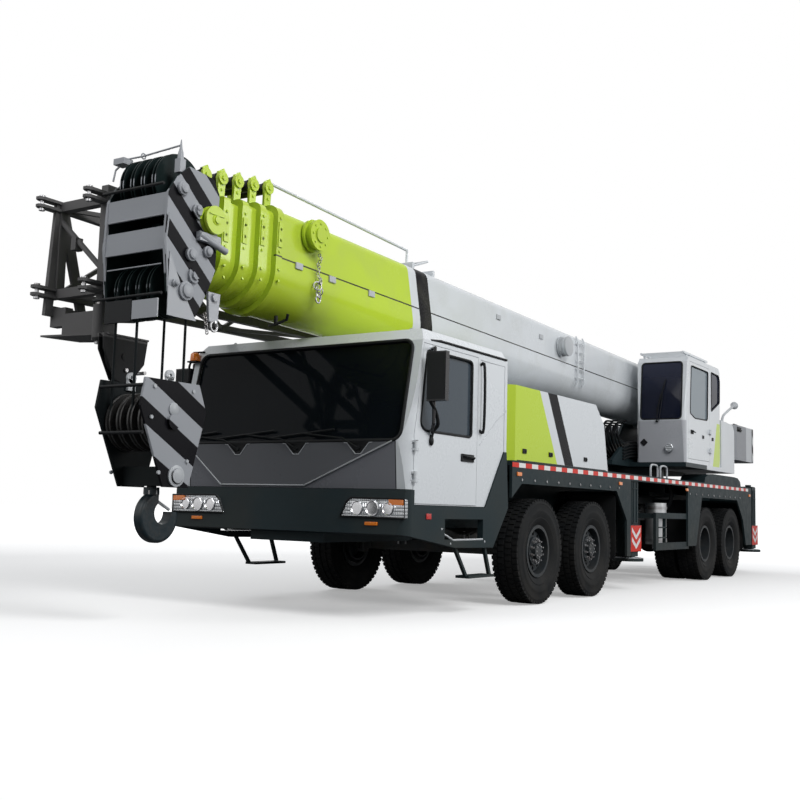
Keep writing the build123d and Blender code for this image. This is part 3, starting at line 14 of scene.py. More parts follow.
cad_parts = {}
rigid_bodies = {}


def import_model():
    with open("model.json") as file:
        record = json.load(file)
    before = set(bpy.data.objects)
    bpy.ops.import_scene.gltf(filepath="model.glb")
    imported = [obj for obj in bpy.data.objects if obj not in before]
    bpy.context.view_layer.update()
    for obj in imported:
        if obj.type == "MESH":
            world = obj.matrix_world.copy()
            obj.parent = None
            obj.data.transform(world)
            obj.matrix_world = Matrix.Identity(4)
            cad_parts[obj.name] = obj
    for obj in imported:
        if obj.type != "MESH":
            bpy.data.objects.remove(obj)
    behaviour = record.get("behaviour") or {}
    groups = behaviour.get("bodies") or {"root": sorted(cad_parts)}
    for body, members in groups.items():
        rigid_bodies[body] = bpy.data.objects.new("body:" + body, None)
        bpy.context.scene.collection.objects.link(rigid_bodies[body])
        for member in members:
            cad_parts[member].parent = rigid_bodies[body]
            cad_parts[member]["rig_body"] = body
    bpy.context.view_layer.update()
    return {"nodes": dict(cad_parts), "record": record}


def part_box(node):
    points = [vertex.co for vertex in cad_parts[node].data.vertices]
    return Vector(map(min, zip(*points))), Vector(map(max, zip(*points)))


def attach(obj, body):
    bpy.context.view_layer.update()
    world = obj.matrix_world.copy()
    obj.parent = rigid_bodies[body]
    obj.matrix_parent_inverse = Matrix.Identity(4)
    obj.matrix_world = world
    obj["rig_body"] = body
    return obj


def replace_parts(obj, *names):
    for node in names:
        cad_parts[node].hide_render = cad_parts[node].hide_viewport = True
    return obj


bl_info = {
    "name": "Truck crane fittings",
    "version": (1, 0, 0),
    "blender": (4, 5, 0),
    "location": "View3D > Sidebar > Crane",
    "description": "Paint, glass, tyres and fittings of a four-axle truck crane",
    "category": "Object",
}

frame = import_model()
NODES = frame["nodes"]


def middle(node):
    low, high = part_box(node)
    return (low + high) / 2


FIRST_AXLE = middle("tyre_1_left").y
AXLES = [middle(f"tyre_{number}_left").y - FIRST_AXLE for number in (1, 2, 3, 4)]
TYRE_RADIUS = middle("tyre_1_left").z
STEERED = (1, 2)
SIDES = (("left", 1), ("right", -1))
DECK_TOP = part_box("side_skirts")[1].z
BOOM_TILT = math.radians(1.2)
SEAM_AT_AXLE = 3.066


def boom_z(y, above_seam=0.0):
    """Height of a line along the stowed boom, y behind the first axle."""
    return SEAM_AT_AXLE - y * math.tan(BOOM_TILT) + above_seam


# ---------------------------------------------------------------- node trees
class Value:
    """A socket of a node tree that can be used in ordinary sums."""

    def __init__(self, tree, socket):
        self.tree, self.socket = tree, socket

    def maths(self, operation, *others):
        inputs = dict(enumerate([self, *others]))
        return self.tree.node("ShaderNodeMath", {"operation": operation}, inputs)

    def __add__(self, other):
        return self.maths("ADD", other)

    def __sub__(self, other):
        return self.maths("SUBTRACT", other)

    def __mul__(self, other):
        return self.maths("MULTIPLY", other)

    def __rsub__(self, other):
        return self.tree.node("ShaderNodeMath", {"operation": "SUBTRACT"}, {0: other, 1: self})

    __radd__, __rmul__ = __add__, __mul__

    def __abs__(self):
        return self.maths("ABSOLUTE")

    def __mod__(self, period):
        return self.maths("FLOORED_MODULO", period)

    def above(self, edge, blur=0.002):
        """1 past the edge and 0 before it."""
        spans = {"From Min": edge - blur, "From Max": edge + blur}
        return self.tree.node("ShaderNodeMapRange", {"clamp": True}, {"Value": self, **spans})

    def below(self, edge, blur=0.002):
        return 1 - self.above(edge, blur)

    def between(self, low, high, blur=0.002):
        return self.above(low, blur) * self.below(high, blur)


class Tree:
    """Adds nodes to a shader or geometry tree."""

    def __init__(self, tree):
        self.tree = tree

    def node(self, kind, settings=None, inputs=None, output=0):
        """One node: its settings first, then the values or links of its sockets."""
        node = self.tree.nodes.new(kind)
        for name, value in (settings or {}).items():
            if name == "stops":
                ramp = node.color_ramp.elements
                while len(ramp) < len(value):
                    ramp.new(0.5)
                for stop, (place, colour) in zip(ramp, value):
                    stop.position, stop.color = place, colour
            else:
                setattr(node, name, value)
        for name, value in (inputs or {}).items():
            if isinstance(value, Value):
                self.tree.links.new(value.socket, node.inputs[name])
            else:
                node.inputs[name].default_value = value
        return Value(self, node.outputs[output]) if node.outputs else None

    def mix(self, factor, first, second):
        """Colour that runs from the first to the second."""
        ends = {0: factor, 6: opaque(first), 7: opaque(second)}
        return self.node("ShaderNodeMix", {"data_type": "RGBA"}, ends, output=2)

    def noise(self, scale, detail=3.0, where=None, **more):
        inputs = {"Vector": where or self.place, "Scale": scale, "Detail": detail, **more}
        return self.node("ShaderNodeTexNoise", {}, inputs)


def opaque(colour):
    return colour if isinstance(colour, Value) else (*colour[:3], 1.0)


class Finish(Tree):
    """A material whose pattern lies on the piece's own coordinates."""

    def __init__(self, name):
        self.material = bpy.data.materials.new(name)
        self.material.use_nodes = True
        super().__init__(self.material.node_tree)
        self.tree.nodes.clear()
        self.place = self.node("ShaderNodeTexCoord", {}, {}, output=3)
        split = self.node("ShaderNodeSeparateXYZ", {}, {"Vector": self.place})
        outputs = split.socket.node.outputs
        self.x, self.y, self.z = (Value(self, outputs[i]) for i in range(3))
        self.y = self.y - FIRST_AXLE

    def surface(self, base, roughness, height=None, depth=0.001, **fixed):
        """Ends the tree in one Principled shader; height is a bump map."""
        inputs = {"Base Color": opaque(base), "Roughness": roughness}
        if height is not None:
            bump = {"Strength": 1.0, "Distance": depth, "Height": height}
            inputs["Normal"] = self.node("ShaderNodeBump", {}, bump)
        inputs.update({name.replace("_", " "): value for name, value in fixed.items()})
        shader = self.node("ShaderNodeBsdfPrincipled", {}, inputs)
        self.node("ShaderNodeOutputMaterial", {}, {"Surface": shader})
        return self.material


# ---------------------------------------------------------------- colours and finishes
LIME = (0.50, 0.66, 0.045)
WHITE = (0.66, 0.69, 0.715)
BAND_BLACK = (0.006, 0.006, 0.008)
PANEL_GREY = (0.185, 0.19, 0.21)
SLATE = (0.014, 0.025, 0.029)
WARNING_GREY = (0.35, 0.365, 0.39)
DIRT = (0.075, 0.066, 0.054)
TAPE_RED, TAPE_WHITE = (0.66, 0.022, 0.008), (0.80, 0.80, 0.79)
LENS_RED, LENS_AMBER = (0.55, 0.02, 0.015), (0.80, 0.20, 0.01)
FINISHES = {}


def finish(name):
    """The named material, made when it is first asked for."""
    if name not in FINISHES:
        FINISHES[name] = MAKERS[name](Finish(name))
    return FINISHES[name]


def sprayed(f, colour, gloss=0.30, coat=0.35, dirt=0.35, shine=0.3, relief=0.0):
    """Sprayed steel: orange peel, uneven gloss, and road dust that thins with height."""
    cloud = f.noise(1.7, 4.0)
    speck = f.noise(38.0, 5.0)
    low = f.z.below(0.9, 0.8)
    dust = (cloud.above(0.52, 0.16) * (low * 0.75 + 0.12) + speck.above(0.66, 0.05) * 0.12) * dirt
    base = f.mix(dust, colour, DIRT)
    peel = f.noise(160.0, 2.0) + f.noise(9.0, 2.0) * 0.8 + relief
    rough = cloud * 0.14 + speck * 0.08 + dust * 0.45 + (gloss - 0.1)
    return f.surface(base, rough, peel, 0.00022, Coat_Weight=coat, Coat_Roughness=0.12,
            Specular_IOR_Level=shine)


def warning_stripes(f, slope, period, offset, width=0.5):
    """Mask of slanting bars that fall towards the rear."""
    return ((f.z + f.y * slope + offset) % period).above(period * width, 0.003)


def slate_paint(f):
    return sprayed(f, SLATE, gloss=0.46, coat=0.0, dirt=0.45, shine=0.12)


def frame_paint(f):
    """Slate frame; its rear panel carries flush lamps, barred boards and a blank plate, set in recesses
    whose shadow is painted near black.
    """
    rear, out = f.y.above(9.2285, 0.0005), abs(f.x)

    def area(x0, x1, z0, z1):
        return rear * out.between(x0, x1, 0.001) * f.z.between(z0, z1, 0.001)
    seams = area(0.548, 0.556, 0.63, 1.48) + area(-1, 1.3, 1.225, 1.233) + area(-1, 1.3, 1.035, 1.043)
    base = f.mix(seams, SLATE, BAND_BLACK)
    board = area(0.60, 1.12, 1.06, 1.20)
    bars = ((out - f.z * 0.7) % 0.14).above(0.07, 0.001)
    base = f.mix(board, base, f.mix(bars, TAPE_WHITE, TAPE_RED))
    # painted shade: the recesses round the lamps and the plate, and one bare recess, are painted near black
    # in place of their shadow
    recess_shade = area(0.70, 1.12, 0.70, 0.84) + area(-1, 0.25, 0.71, 0.84) + area(-1, 0.16, 0.92, 1.0)
    base = f.mix(recess_shade, base, BAND_BLACK)
    base = f.mix(area(-1, 0.24, 0.72, 0.83), base, (0.55, 0.55, 0.54))
    joints = area(0.832, 0.838, 0.7, 0.85) + area(0.968, 0.974, 0.7, 0.85)
    lamps = area(0.71, 1.11, 0.712, 0.828) * (1 - joints)
    inner = f.mix(out.above(0.835, 0.001), LENS_RED, LENS_AMBER)
    glass = f.mix(out.above(0.97, 0.001), inner, (0.62, 0.66, 0.68))
    ribs = (f.x % 0.012).above(0.006, 0.001) * lamps
    return sprayed(f, f.mix(lamps, base, glass), gloss=0.44, coat=lamps * 0.5, dirt=0.4, shine=0.12,
            relief=ribs * 8)


def platform_paint(f):
    """Slate turntable with white boxes on its sides."""
    box = abs(f.x).above(0.56, 0.002) * f.y.between(6.1, 7.68) * f.z.above(1.70, 0.002)
    return sprayed(f, f.mix(box, SLATE, WHITE), gloss=0.34, coat=box * 0.3, dirt=0.3, shine=0.12)


def deck_paint(f):
    """Slate frame and skirts, with a chequered tread on the walking surface."""
    on_top = f.z.above(DECK_TOP - 0.003, 0.001)
    first = ((f.x + f.y) % 0.07).between(0.026, 0.044, 0.004) * ((f.x - f.y) % 0.07).above(0.02, 0.004)
    second = ((f.x - f.y) % 0.07).between(0.026, 0.044, 0.004) * ((f.x + f.y) % 0.07).above(0.02, 0.004)
    tread = (first + second) * on_top
    worn = f.mix(tread * 0.5 * f.noise(3.0).above(0.45, 0.2), SLATE, (0.20, 0.21, 0.21))
    dust = f.noise(1.7, 4.0).above(0.5, 0.2) * (f.z.below(0.9, 0.8) * 0.5 + 0.1)
    base = f.mix(dust * 0.6, worn, DIRT)
    return f.surface(base, f.noise(12.0) * 0.25 + 0.35, tread * 2 + f.noise(140.0) * 0.4, 0.0012,
            Specular_IOR_Level=0.12)


def cab_paint(f):
    """White cab with a grey front panel below the windscreen."""
    front = f.y.below(-2.56, 0.004) * abs(f.x).below(1.215, 0.002) * f.z.below(1.562, 0.002)
    seam = f.y.below(-2.5, 0.01) * abs(f.x).between(1.212, 1.222, 0.002) * f.z.below(1.56, 0.003)
    base = f.mix(seam, f.mix(front, WHITE, PANEL_GREY), BAND_BLACK)
    base = f.mix(abs(f.x).above(1.384, 0.001) * f.z.above(1.56), base, BAND_BLACK)
    return sprayed(f, base, gloss=0.26, coat=(1 - front) * 0.3, dirt=0.10, shine=0.2)


def operator_cab_paint(f):
    """White cab with a grey front and a slanting lime flash on its left side."""
    front = f.y.below(5.10, 0.004) * f.z.below(2.40, 0.01)
    slant = f.y - f.z * 0.32 + 0.57
    flash = slant.between(6.42, 6.78) * f.z.below(2.47) * f.x.above(1.27, 0.002)
    base = f.mix(flash, f.mix(front, WHITE, (0.42, 0.43, 0.46)), LIME)
    return sprayed(f, base, gloss=0.28, coat=0.3, dirt=0.10, shine=0.25)


def hood_paint(f):
    """Lime front, white and black slanting bands, then pale grey."""
    slant = f.y - 0.6 * (2.325 - f.z)
    base = f.mix(slant.above(0.33), LIME, WHITE)
    band = slant.between(0.54, 0.79)
    return sprayed(f, f.mix(band, base, BAND_BLACK), gloss=0.27, coat=(1 - band) * 0.3, dirt=0.08,
            shine=0.05)


def boom_paint(f):
    """Lime forward part, white and black slanting bands, then pale grey."""
    slant = f.y + (f.z - 3.5) * 0.25
    height = f.z + f.y * math.tan(BOOM_TILT) - SEAM_AT_AXLE
    base = f.mix(slant.above(-1.25), LIME, WHITE)
    tube = height.above(0.44, 0.002) * f.y.above(-3.29, 0.002) * f.x.between(0.185, 0.225)
    base = f.mix(tube, base, WHITE)
    band = slant.between(-1.10, -0.86) * (1 - tube)
    base = f.mix(band, base, BAND_BLACK)
    seam = height.between(-0.008, 0.006)
    base = f.mix(seam * abs(f.x).above(0.355, 0.001), base, BAND_BLACK)
    streaks = f.noise(2.0, 3.0, Distortion=0.6).above(0.55, 0.1) * 0.10
    return sprayed(f, f.mix(streaks, base, (0.30, 0.30, 0.22)), gloss=0.25, coat=(1 - band) * 0.35,
            dirt=0.06, shine=0.05)


def section_paint(f):
    return sprayed(f, LIME, gloss=0.26, coat=0.35, dirt=0.08, shine=0.25)


def head_paint(f):
    """Boom head: barred cheek plates, grey front bars, and near-black faces behind and between the bars."""
    cheek = abs(f.x).above(0.346, 0.001)
    bars = f.y.below(-4.64, 0.001)
    barred = f.mix(warning_stripes(f, 0.87, 0.31, 0.10), BAND_BLACK, WARNING_GREY)
    # the faces behind and between the front bars are near black
    base = f.mix(bars, (0.010, 0.018, 0.018), WARNING_GREY)
    base = f.mix(cheek, base, barred)
    across, rise = f.y + 4.195, f.z - 3.24
    lug = (across * across + rise * rise).maths("SQRT").below(0.135, 0.002) * f.x.above(0.353, 0.001)
    lime = (f.y.above(-4.165, 0.001) * abs(f.x).below(0.31, 0.001)).maths("MAXIMUM", lug)
    return sprayed(f, f.mix(lime, base, LIME), gloss=0.36, coat=lime * 0.3, dirt=0.12, shine=0.05)


def block_paint(f):
    """Hook block: barred cheek plates, dark between them."""
    outside = abs(f.x + 0.025).above(0.244, 0.001)
    barred = f.mix(warning_stripes(f, 0.57, 0.36, 0.02), BAND_BLACK, WARNING_GREY)
    return sprayed(f, f.mix(outside, (0.010, 0.013, 0.014), barred), gloss=0.36, coat=0.0, dirt=0.12,
            shine=0.05)


def jib_grey(f):
    """Weathered grey lattice with near-black sheave cheeks below it."""
    cheeks = f.z.below(2.30, 0.004) * f.x.above(-0.56, 0.004)
    return sprayed(f, f.mix(cheeks, (0.12, 0.118, 0.118), (0.010, 0.011, 0.012)), gloss=0.50, coat=0.0,
            dirt=0.3, shine=0.15)


def ballast_iron(f):
    """Pale counterweight, striped white and dark at its rear corners."""
    corner = f.y.above(8.80, 0.004) * abs(f.x).above(0.92, 0.004)
    bars = ((f.z + (f.y + abs(f.x)) * 0.9) % 0.30).above(0.15, 0.003)
    base = f.mix(f.y.above(8.42, 0.004), (0.30, 0.31, 0.33), (0.56, 0.58, 0.60))
    base = f.mix(corner * bars, base, BAND_BLACK)
    pits = f.noise(26.0, 5.0)
    return f.surface(base, pits * 0.3 + 0.32, pits, 0.002, Specular_IOR_Level=0.2)


def glass(clean, dust_and_reflection_colour, alpha, shine, film_depth=0.05, film_base=0.03, sky_reflection=0.0):
    """Window glass with a faint film of dust; a painted reflection of the sky lightens its upper part."""
    def make(f):
        film = f.noise(2.4, 4.0) * film_depth + film_base
        # painted reflection: the colour is lightened towards the top where the sky would be mirrored, on
        # top of the real dust film
        shown = film + f.z.above(3.05, 0.25) * sky_reflection if sky_reflection else film
        return f.surface(f.mix(shown, clean, dust_and_reflection_colour), film * 0.5 + 0.02, Alpha=alpha,
                Specular_IOR_Level=shine)
    return make


def rubber(f):
    grain = f.noise(90.0, 4.0)
    dust = f.noise(5.0, 4.0).above(0.5, 0.18) * 0.30 * f.z.below(0.8, 0.7)
    base = f.mix(dust, (0.009, 0.010, 0.011), (0.055, 0.050, 0.043))
    return f.surface(base, grain * 0.2 + 0.62, grain, 0.0007, Specular_IOR_Level=0.12)


def trim(f):
    """Grained black plastic and seals."""
    grain = f.noise(320.0, 2.0)
    return f.surface(f.mix(f.noise(4.0) * 0.4, (0.008, 0.009, 0.010), (0.020, 0.021, 0.022)),
            grain * 0.15 + 0.45, grain, 0.0004, Specular_IOR_Level=0.15)


def dash_grey(f):
    grain = f.noise(260.0, 2.0)
    return f.surface(f.mix(f.noise(5.0) * 0.3, (0.05, 0.052, 0.055), (0.09, 0.09, 0.095)),
            grain * 0.15 + 0.5, grain, 0.0005)


def bare_steel(f):
    scratch = f.noise(60.0, 4.0, Distortion=0.4)
    return f.surface(f.mix(f.noise(7.0).above(0.6, 0.12) * 0.5, (0.42, 0.42, 0.43), (0.16, 0.12, 0.09)),
            scratch * 0.3 + 0.25, scratch, 0.0004, Metallic=0.9)


def chrome(f):
    smear = f.noise(14.0, 3.0)
    return f.surface(f.mix(smear * 0.25, (0.80, 0.80, 0.82), (0.5, 0.5, 0.5)), smear * 0.12 + 0.06,
            Metallic=1.0)


def tank_metal(f):
    brushed = f.node("ShaderNodeMapping", {}, {"Vector": f.place, "Scale": (60.0, 60.0, 3.0)})
    grain = f.noise(6.0, 4.0, where=brushed)
    return f.surface(f.mix(grain * 0.3, (0.60, 0.61, 0.62), (0.35, 0.35, 0.35)), grain * 0.25 + 0.22,
            grain, 0.0003, Metallic=0.85)


def greased_steel(f):
    """Dark wire rope and winch parts under grease."""
    grime = f.noise(30.0, 5.0)
    return f.surface(f.mix(grime.above(0.5, 0.2), (0.050, 0.050, 0.050), (0.020, 0.018, 0.016)),
            grime * 0.3 + 0.3, grime, 0.001, Metallic=0.5)


def forged(f):
    scale = f.noise(22.0, 6.0)
    return f.surface(f.mix(scale.above(0.58, 0.1) * 0.4, (0.007, 0.016, 0.021), (0.035, 0.032, 0.030)),
            scale * 0.25 + 0.28, scale, 0.002, Specular_IOR_Level=0.35)


def cast_iron(f):
    grain = f.noise(45.0, 6.0)
    return f.surface(f.mix(f.noise(6.0).above(0.5, 0.2) * 0.5, (0.045, 0.052, 0.055), (0.09, 0.07, 0.05)),
            grain * 0.3 + 0.45, grain, 0.002)


def wheel_paint(f):
    dust = f.noise(9.0, 4.0).above(0.5, 0.15) * 0.35
    chips = f.noise(70.0, 4.0)
    return f.surface(f.mix(dust, (0.020, 0.025, 0.029), (0.060, 0.056, 0.050)), chips * 0.2 + 0.35, chips,
            0.0006, Specular_IOR_Level=0.3)


def polished_lamp(f):
    """Faceted reflector behind a clear lens."""
    facets = (f.x % 0.022).above(0.011, 0.003) + (f.z % 0.03).above(0.015, 0.004)
    return f.surface(f.mix(facets * 0.4, (0.80, 0.82, 0.84), (0.34, 0.36, 0.38)), facets * 0.05 + 0.08,
            facets, 0.002, Metallic=0.85, Coat_Weight=0.6)


def lens(colour, glow=0.0):
    """Moulded lamp lens with fine ribs."""
    def make(f):
        ribs = ((f.x + f.z) % 0.008).above(0.004, 0.001)
        deep = tuple(channel * 0.55 for channel in colour)
        return f.surface(f.mix(ribs * 0.5, colour, deep), ribs * 0.1 + 0.15, ribs, 0.0006,
                Coat_Weight=0.6, Emission_Color=(*colour, 1.0), Emission_Strength=glow)
    return make


def plain_paint(colour, gloss=0.32, dirt=0.15):
    def make(f):
        return sprayed(f, colour, gloss=gloss, coat=0.15, dirt=dirt, shine=0.2)
    return make


def tape(colour):
    """Reflective sheeting with its honeycomb of fine cells."""
    def make(f):
        cells = ((f.y + f.z) % 0.012).above(0.006, 0.002) * ((f.y - f.z) % 0.012).above(0.006, 0.002)
        dull = tuple(channel * 0.8 for channel in colour)
        return f.surface(f.mix(cells, colour, dull), cells * 0.1 + 0.3, Specular_IOR_Level=0.2)
    return make


def woven_cloth(f):
    """Woven seat cover with a lighter cross thread."""
    warp = ((f.x % 0.006).above(0.003, 0.001) + (f.z % 0.006).above(0.003, 0.001)) * 0.5
    fluff = f.noise(120.0, 3.0)
    return f.surface(f.mix(warp * 0.5 + fluff * 0.3, (0.020, 0.022, 0.026), (0.075, 0.078, 0.085)),
            fluff * 0.1 + 0.82, warp, 0.0012, Sheen_Weight=0.2)


MAKERS = {maker.__name__: maker for maker in (
    slate_paint, frame_paint, platform_paint, deck_paint, cab_paint, operator_cab_paint, hood_paint,
    boom_paint, section_paint, head_paint, block_paint, jib_grey, ballast_iron, rubber, trim,
    dash_grey, bare_steel, chrome, tank_metal, greased_steel, forged, cast_iron, wheel_paint,
    polished_lamp, woven_cloth)}
MAKERS.update({
    "tinted_glass": glass((0.003, 0.005, 0.007), (0.05, 0.055, 0.06), 0.93, 0.07),
    "navy_glass": glass((0.006, 0.008, 0.020), (0.06, 0.07, 0.12), 0.93, 0.12, sky_reflection=0.35),
    "side_glass": glass((0.060, 0.080, 0.100), (0.12, 0.14, 0.16), 0.80, 0.25, 0.06, 0.04),
    "pale_glass": glass((0.26, 0.32, 0.36), (0.36, 0.40, 0.43), 0.72, 0.4, 0.06, 0.04),
    "amber_lens": lens(LENS_AMBER, 0.1), "red_lens": lens(LENS_RED, 0.1),
    "lime_paint": plain_paint(LIME, 0.26, 0.08),
    "white_paint": plain_paint(WHITE, 0.28), "panel_paint": plain_paint((0.135, 0.14, 0.152), 0.30),
    "edge_paint": plain_paint((0.50, 0.52, 0.54), 0.3), "warning_grey": plain_paint(WARNING_GREY),
    "black_paint": plain_paint(BAND_BLACK, 0.36), "pale_grey": plain_paint((0.45, 0.47, 0.49), 0.3),
    "red_tape": tape(TAPE_RED), "white_tape": tape(TAPE_WHITE),
})
CAD_FINISHES = {
    "slate_paint": "slate_paint", "bright_tank": "tank_metal", "black_axle": "cast_iron",
    "cab_white": "cab_paint", "tinted_glass": "tinted_glass", "cab_trim": "dash_grey",
    "hood_paint": "hood_paint", "engine_iron": "cast_iron", "ballast_iron": "ballast_iron",
    "seat_cloth": "woven_cloth", "winch_steel": "greased_steel", "boom_paint": "section_paint",
    "head_paint": "head_paint", "chrome_rod": "chrome", "jib_grey": "jib_grey",
    "block_paint": "block_paint", "hook_steel": "forged", "rim_paint": "wheel_paint",
    "tyre": "rubber", "jack_steel": "slate_paint",
}
NODE_FINISHES = {
    "side_skirts": "deck_paint", "boom_base": "boom_paint", "operator_cab": "operator_cab_paint",
    "operator_door": "operator_cab_paint", "door_glass_left": "side_glass",
    "door_glass_right": "side_glass", "operator_door_glass": "pale_glass", "operator_glass": "navy_glass",
    "slew_platform": "platform_paint", "chassis_frame": "frame_paint",
}


# ---------------------------------------------------------------- modelling helpers
class Model:
    """A piece's mesh, put together from simple solids, y from the first axle."""

    def __init__(self):
        self.mesh = bmesh.new()

    def _skin(self, rows, closed):
        """Faces between rows of corners, with ends unless the last row meets the first."""
        sides = len(rows[0])
        pairs = list(zip(rows, rows[1:])) + ([(rows[-1], rows[0])] if closed else [])
        for lower, upper in pairs:
            for step in range(sides):
                after = (step + 1) % sides
                self.mesh.faces.new((lower[step], lower[after], upper[after], upper[step]))
        if not closed:
            self.mesh.faces.new(rows[0][::-1])
            self.mesh.faces.new(rows[-1])
        return self

    def drawn(self, corners, shift):
        """Flat outline drawn out by a shift."""
        verts = [self.mesh.verts.new(corner) for corner in corners]
        face = self.mesh.faces.new(verts)
        grown = bmesh.ops.extrude_face_region(self.mesh, geom=[face])["geom"]
        bmesh.ops.translate(self.mesh, verts=[v for v in grown if isinstance(v, bmesh.types.BMVert)],
                vec=shift)
        return self

    def block(self, x, y, z):
        corners = [(x[0], y[0], z[0]), (x[1], y[0], z[0]), (x[1], y[1], z[0]), (x[0], y[1], z[0])]
        return self.drawn(corners, (0, 0, z[1] - z[0]))

    def across(self, points, x0, x1):
        """Side outline of (y, z) points drawn from x0 to x1."""
        return self.drawn([(x0, y, z) for y, z in points], (x1 - x0, 0, 0))

    def along(self, points, y0, y1):
        """Front outline of (x, z) points drawn from y0 to y1."""
        return self.drawn([(x, y0, z) for x, z in points], (0, y1 - y0, 0))

    def block_on_boom(self, x, y, z, sign):
        """Block square to the boom, given in the boom's own frame."""
        corners = [on_boom(sign * x[0], y[a], z[b]) for a, b in ((0, 0), (1, 0), (1, 1), (0, 1))]
        return self.drawn(corners, (sign * (x[1] - x[0]), 0, 0))

    def bolt_on_boom(self, x, y, z, radius, sign, sides=6):
        """Short rod square to the boom's side, given in the boom's own frame."""
        return self.rod(on_boom(sign * x[0], y, z), on_boom(sign * x[1], y, z), radius, sides=sides)

    def rod(self, start, end, radius, end_radius=None, sides=20):
        start, end = Vector(start), Vector(end)
        turn = (end - start).to_track_quat("Z", "Y").to_matrix().to_4x4()
        place = Matrix.Translation((start + end) / 2) @ turn
        far = radius if end_radius is None else end_radius
        bmesh.ops.create_cone(self.mesh, cap_ends=True, segments=sides, radius1=radius, radius2=far,
                depth=(end - start).length, matrix=place)
        return self

    def ball(self, centre, radius, stretch=(1, 1, 1)):
        place = Matrix.Translation(centre) @ Matrix.Diagonal((*stretch, 1))
        bmesh.ops.create_uvsphere(self.mesh, u_segments=16, v_segments=10, radius=radius, matrix=place)
        return self

    def turned(self, profile, centre, axis, sides=40, hollow=False):
        """Solid of revolution, or a ring if hollow: profile is (distance along the axis, radius)."""
        axis = Vector(axis).normalized()
        turn = axis.to_track_quat("Z", "Y").to_matrix()
        rows = []
        for along, radius in profile:
            steps = (2 * math.pi * step / sides for step in range(sides))
            ring = [turn @ Vector((radius * math.cos(a), radius * math.sin(a), along)) for a in steps]
            rows.append([self.mesh.verts.new(Vector(centre) + p) for p in ring])
        return self._skin(rows, hollow)

    def ring(self, centre, axis, radius, thickness, sides=32):
        """Round bar bent into a ring."""
        turn = Vector(axis).to_track_quat("Z", "Y").to_matrix()
        points = [Vector(centre) + turn @ Vector((radius * math.cos(a), radius * math.sin(a), 0))
                for a in (2 * math.pi * step / sides for step in range(sides))]
        return self.pipe(points, thickness, closed=True)

    def pipe(self, points, radius, sides=8, closed=False, smooth=0):
        """Round bar or hose through the points; smooth adds that many steps to each run."""
        points = [Vector(p) for p in points]
        if smooth:
            points = rounded(points, smooth)
        count = len(points)
        rows, up = [], None
        for index, point in enumerate(points):
            before = points[index - 1] if index or closed else point
            after = points[(index + 1) % count] if index + 1 < count or closed else point
            heading = (after - before).normalized()
            if up is None:
                up = heading.orthogonal().normalized()
            up = (up - heading * up.dot(heading)).normalized()
            side = heading.cross(up)
            steps = (2 * math.pi * step / sides for step in range(sides))
            rows.append([self.mesh.verts.new(point + (up * math.cos(a) + side * math.sin(a)) * radius)
                    for a in steps])
        return self._skin(rows, closed)

    def outlined(self, points, radius):
        return self.pipe(points, radius, sides=6, closed=True)

    def mirrored(self):
        """Adds the same again on the crane's other side."""
        copy = bmesh.ops.duplicate(self.mesh, geom=self.mesh.verts[:] + self.mesh.edges[:]
                + self.mesh.faces[:])
        verts = [item for item in copy["geom"] if isinstance(item, bmesh.types.BMVert)]
        bmesh.ops.scale(self.mesh, vec=(-1, 1, 1), verts=verts)
        return self

    def flipped(self, sign):
        """Moves the piece to the other side where sign is -1."""
        if sign < 0:
            bmesh.ops.scale(self.mesh, vec=(-1, 1, 1), verts=self.mesh.verts[:])
        return self

    def piece(self, name, finish_name, body, soften=0.0):
        """Closes the mesh as a named object that rides on a body."""
        bmesh.ops.translate(self.mesh, verts=self.mesh.verts[:], vec=(0, FIRST_AXLE, 0))
        bmesh.ops.recalc_face_normals(self.mesh, faces=self.mesh.faces[:])
        mesh = bpy.data.meshes.new(name)
        self.mesh.to_mesh(mesh)
        self.mesh.free()
        return fitted(name, mesh, finish_name, body, soften)


def rounded(points, steps):
    """Points of a smooth line through the given ones."""
    ends = [2 * points[0] - points[1], *points, 2 * points[-1] - points[-2]]
    line = []
    for a, b, c, d in zip(ends, ends[1:], ends[2:], ends[3:]):
        for step in range(steps):
            t = step / steps
            line.append(0.5 * (2 * b + (c - a) * t + (2 * a - 5 * b + 4 * c - d) * t * t
                    + (3 * b - a - 3 * c + d) * t ** 3))
    return line + [points[-1]]


def fitted(name, mesh, finish_name, body, soften=0.0):
    mesh.materials.clear()
    mesh.materials.append(finish(finish_name))
    mesh.shade_smooth()
    mesh.set_sharp_from_angle(angle=math.radians(32))
    piece = bpy.data.objects.new(name, mesh)
    bpy.context.scene.collection.objects.link(piece)
    if soften:
        bevel = piece.modifiers.new("softened", "BEVEL")
        bevel.width, bevel.segments, bevel.limit_method = soften, 2, "ANGLE"
    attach(piece, body)
    return piece


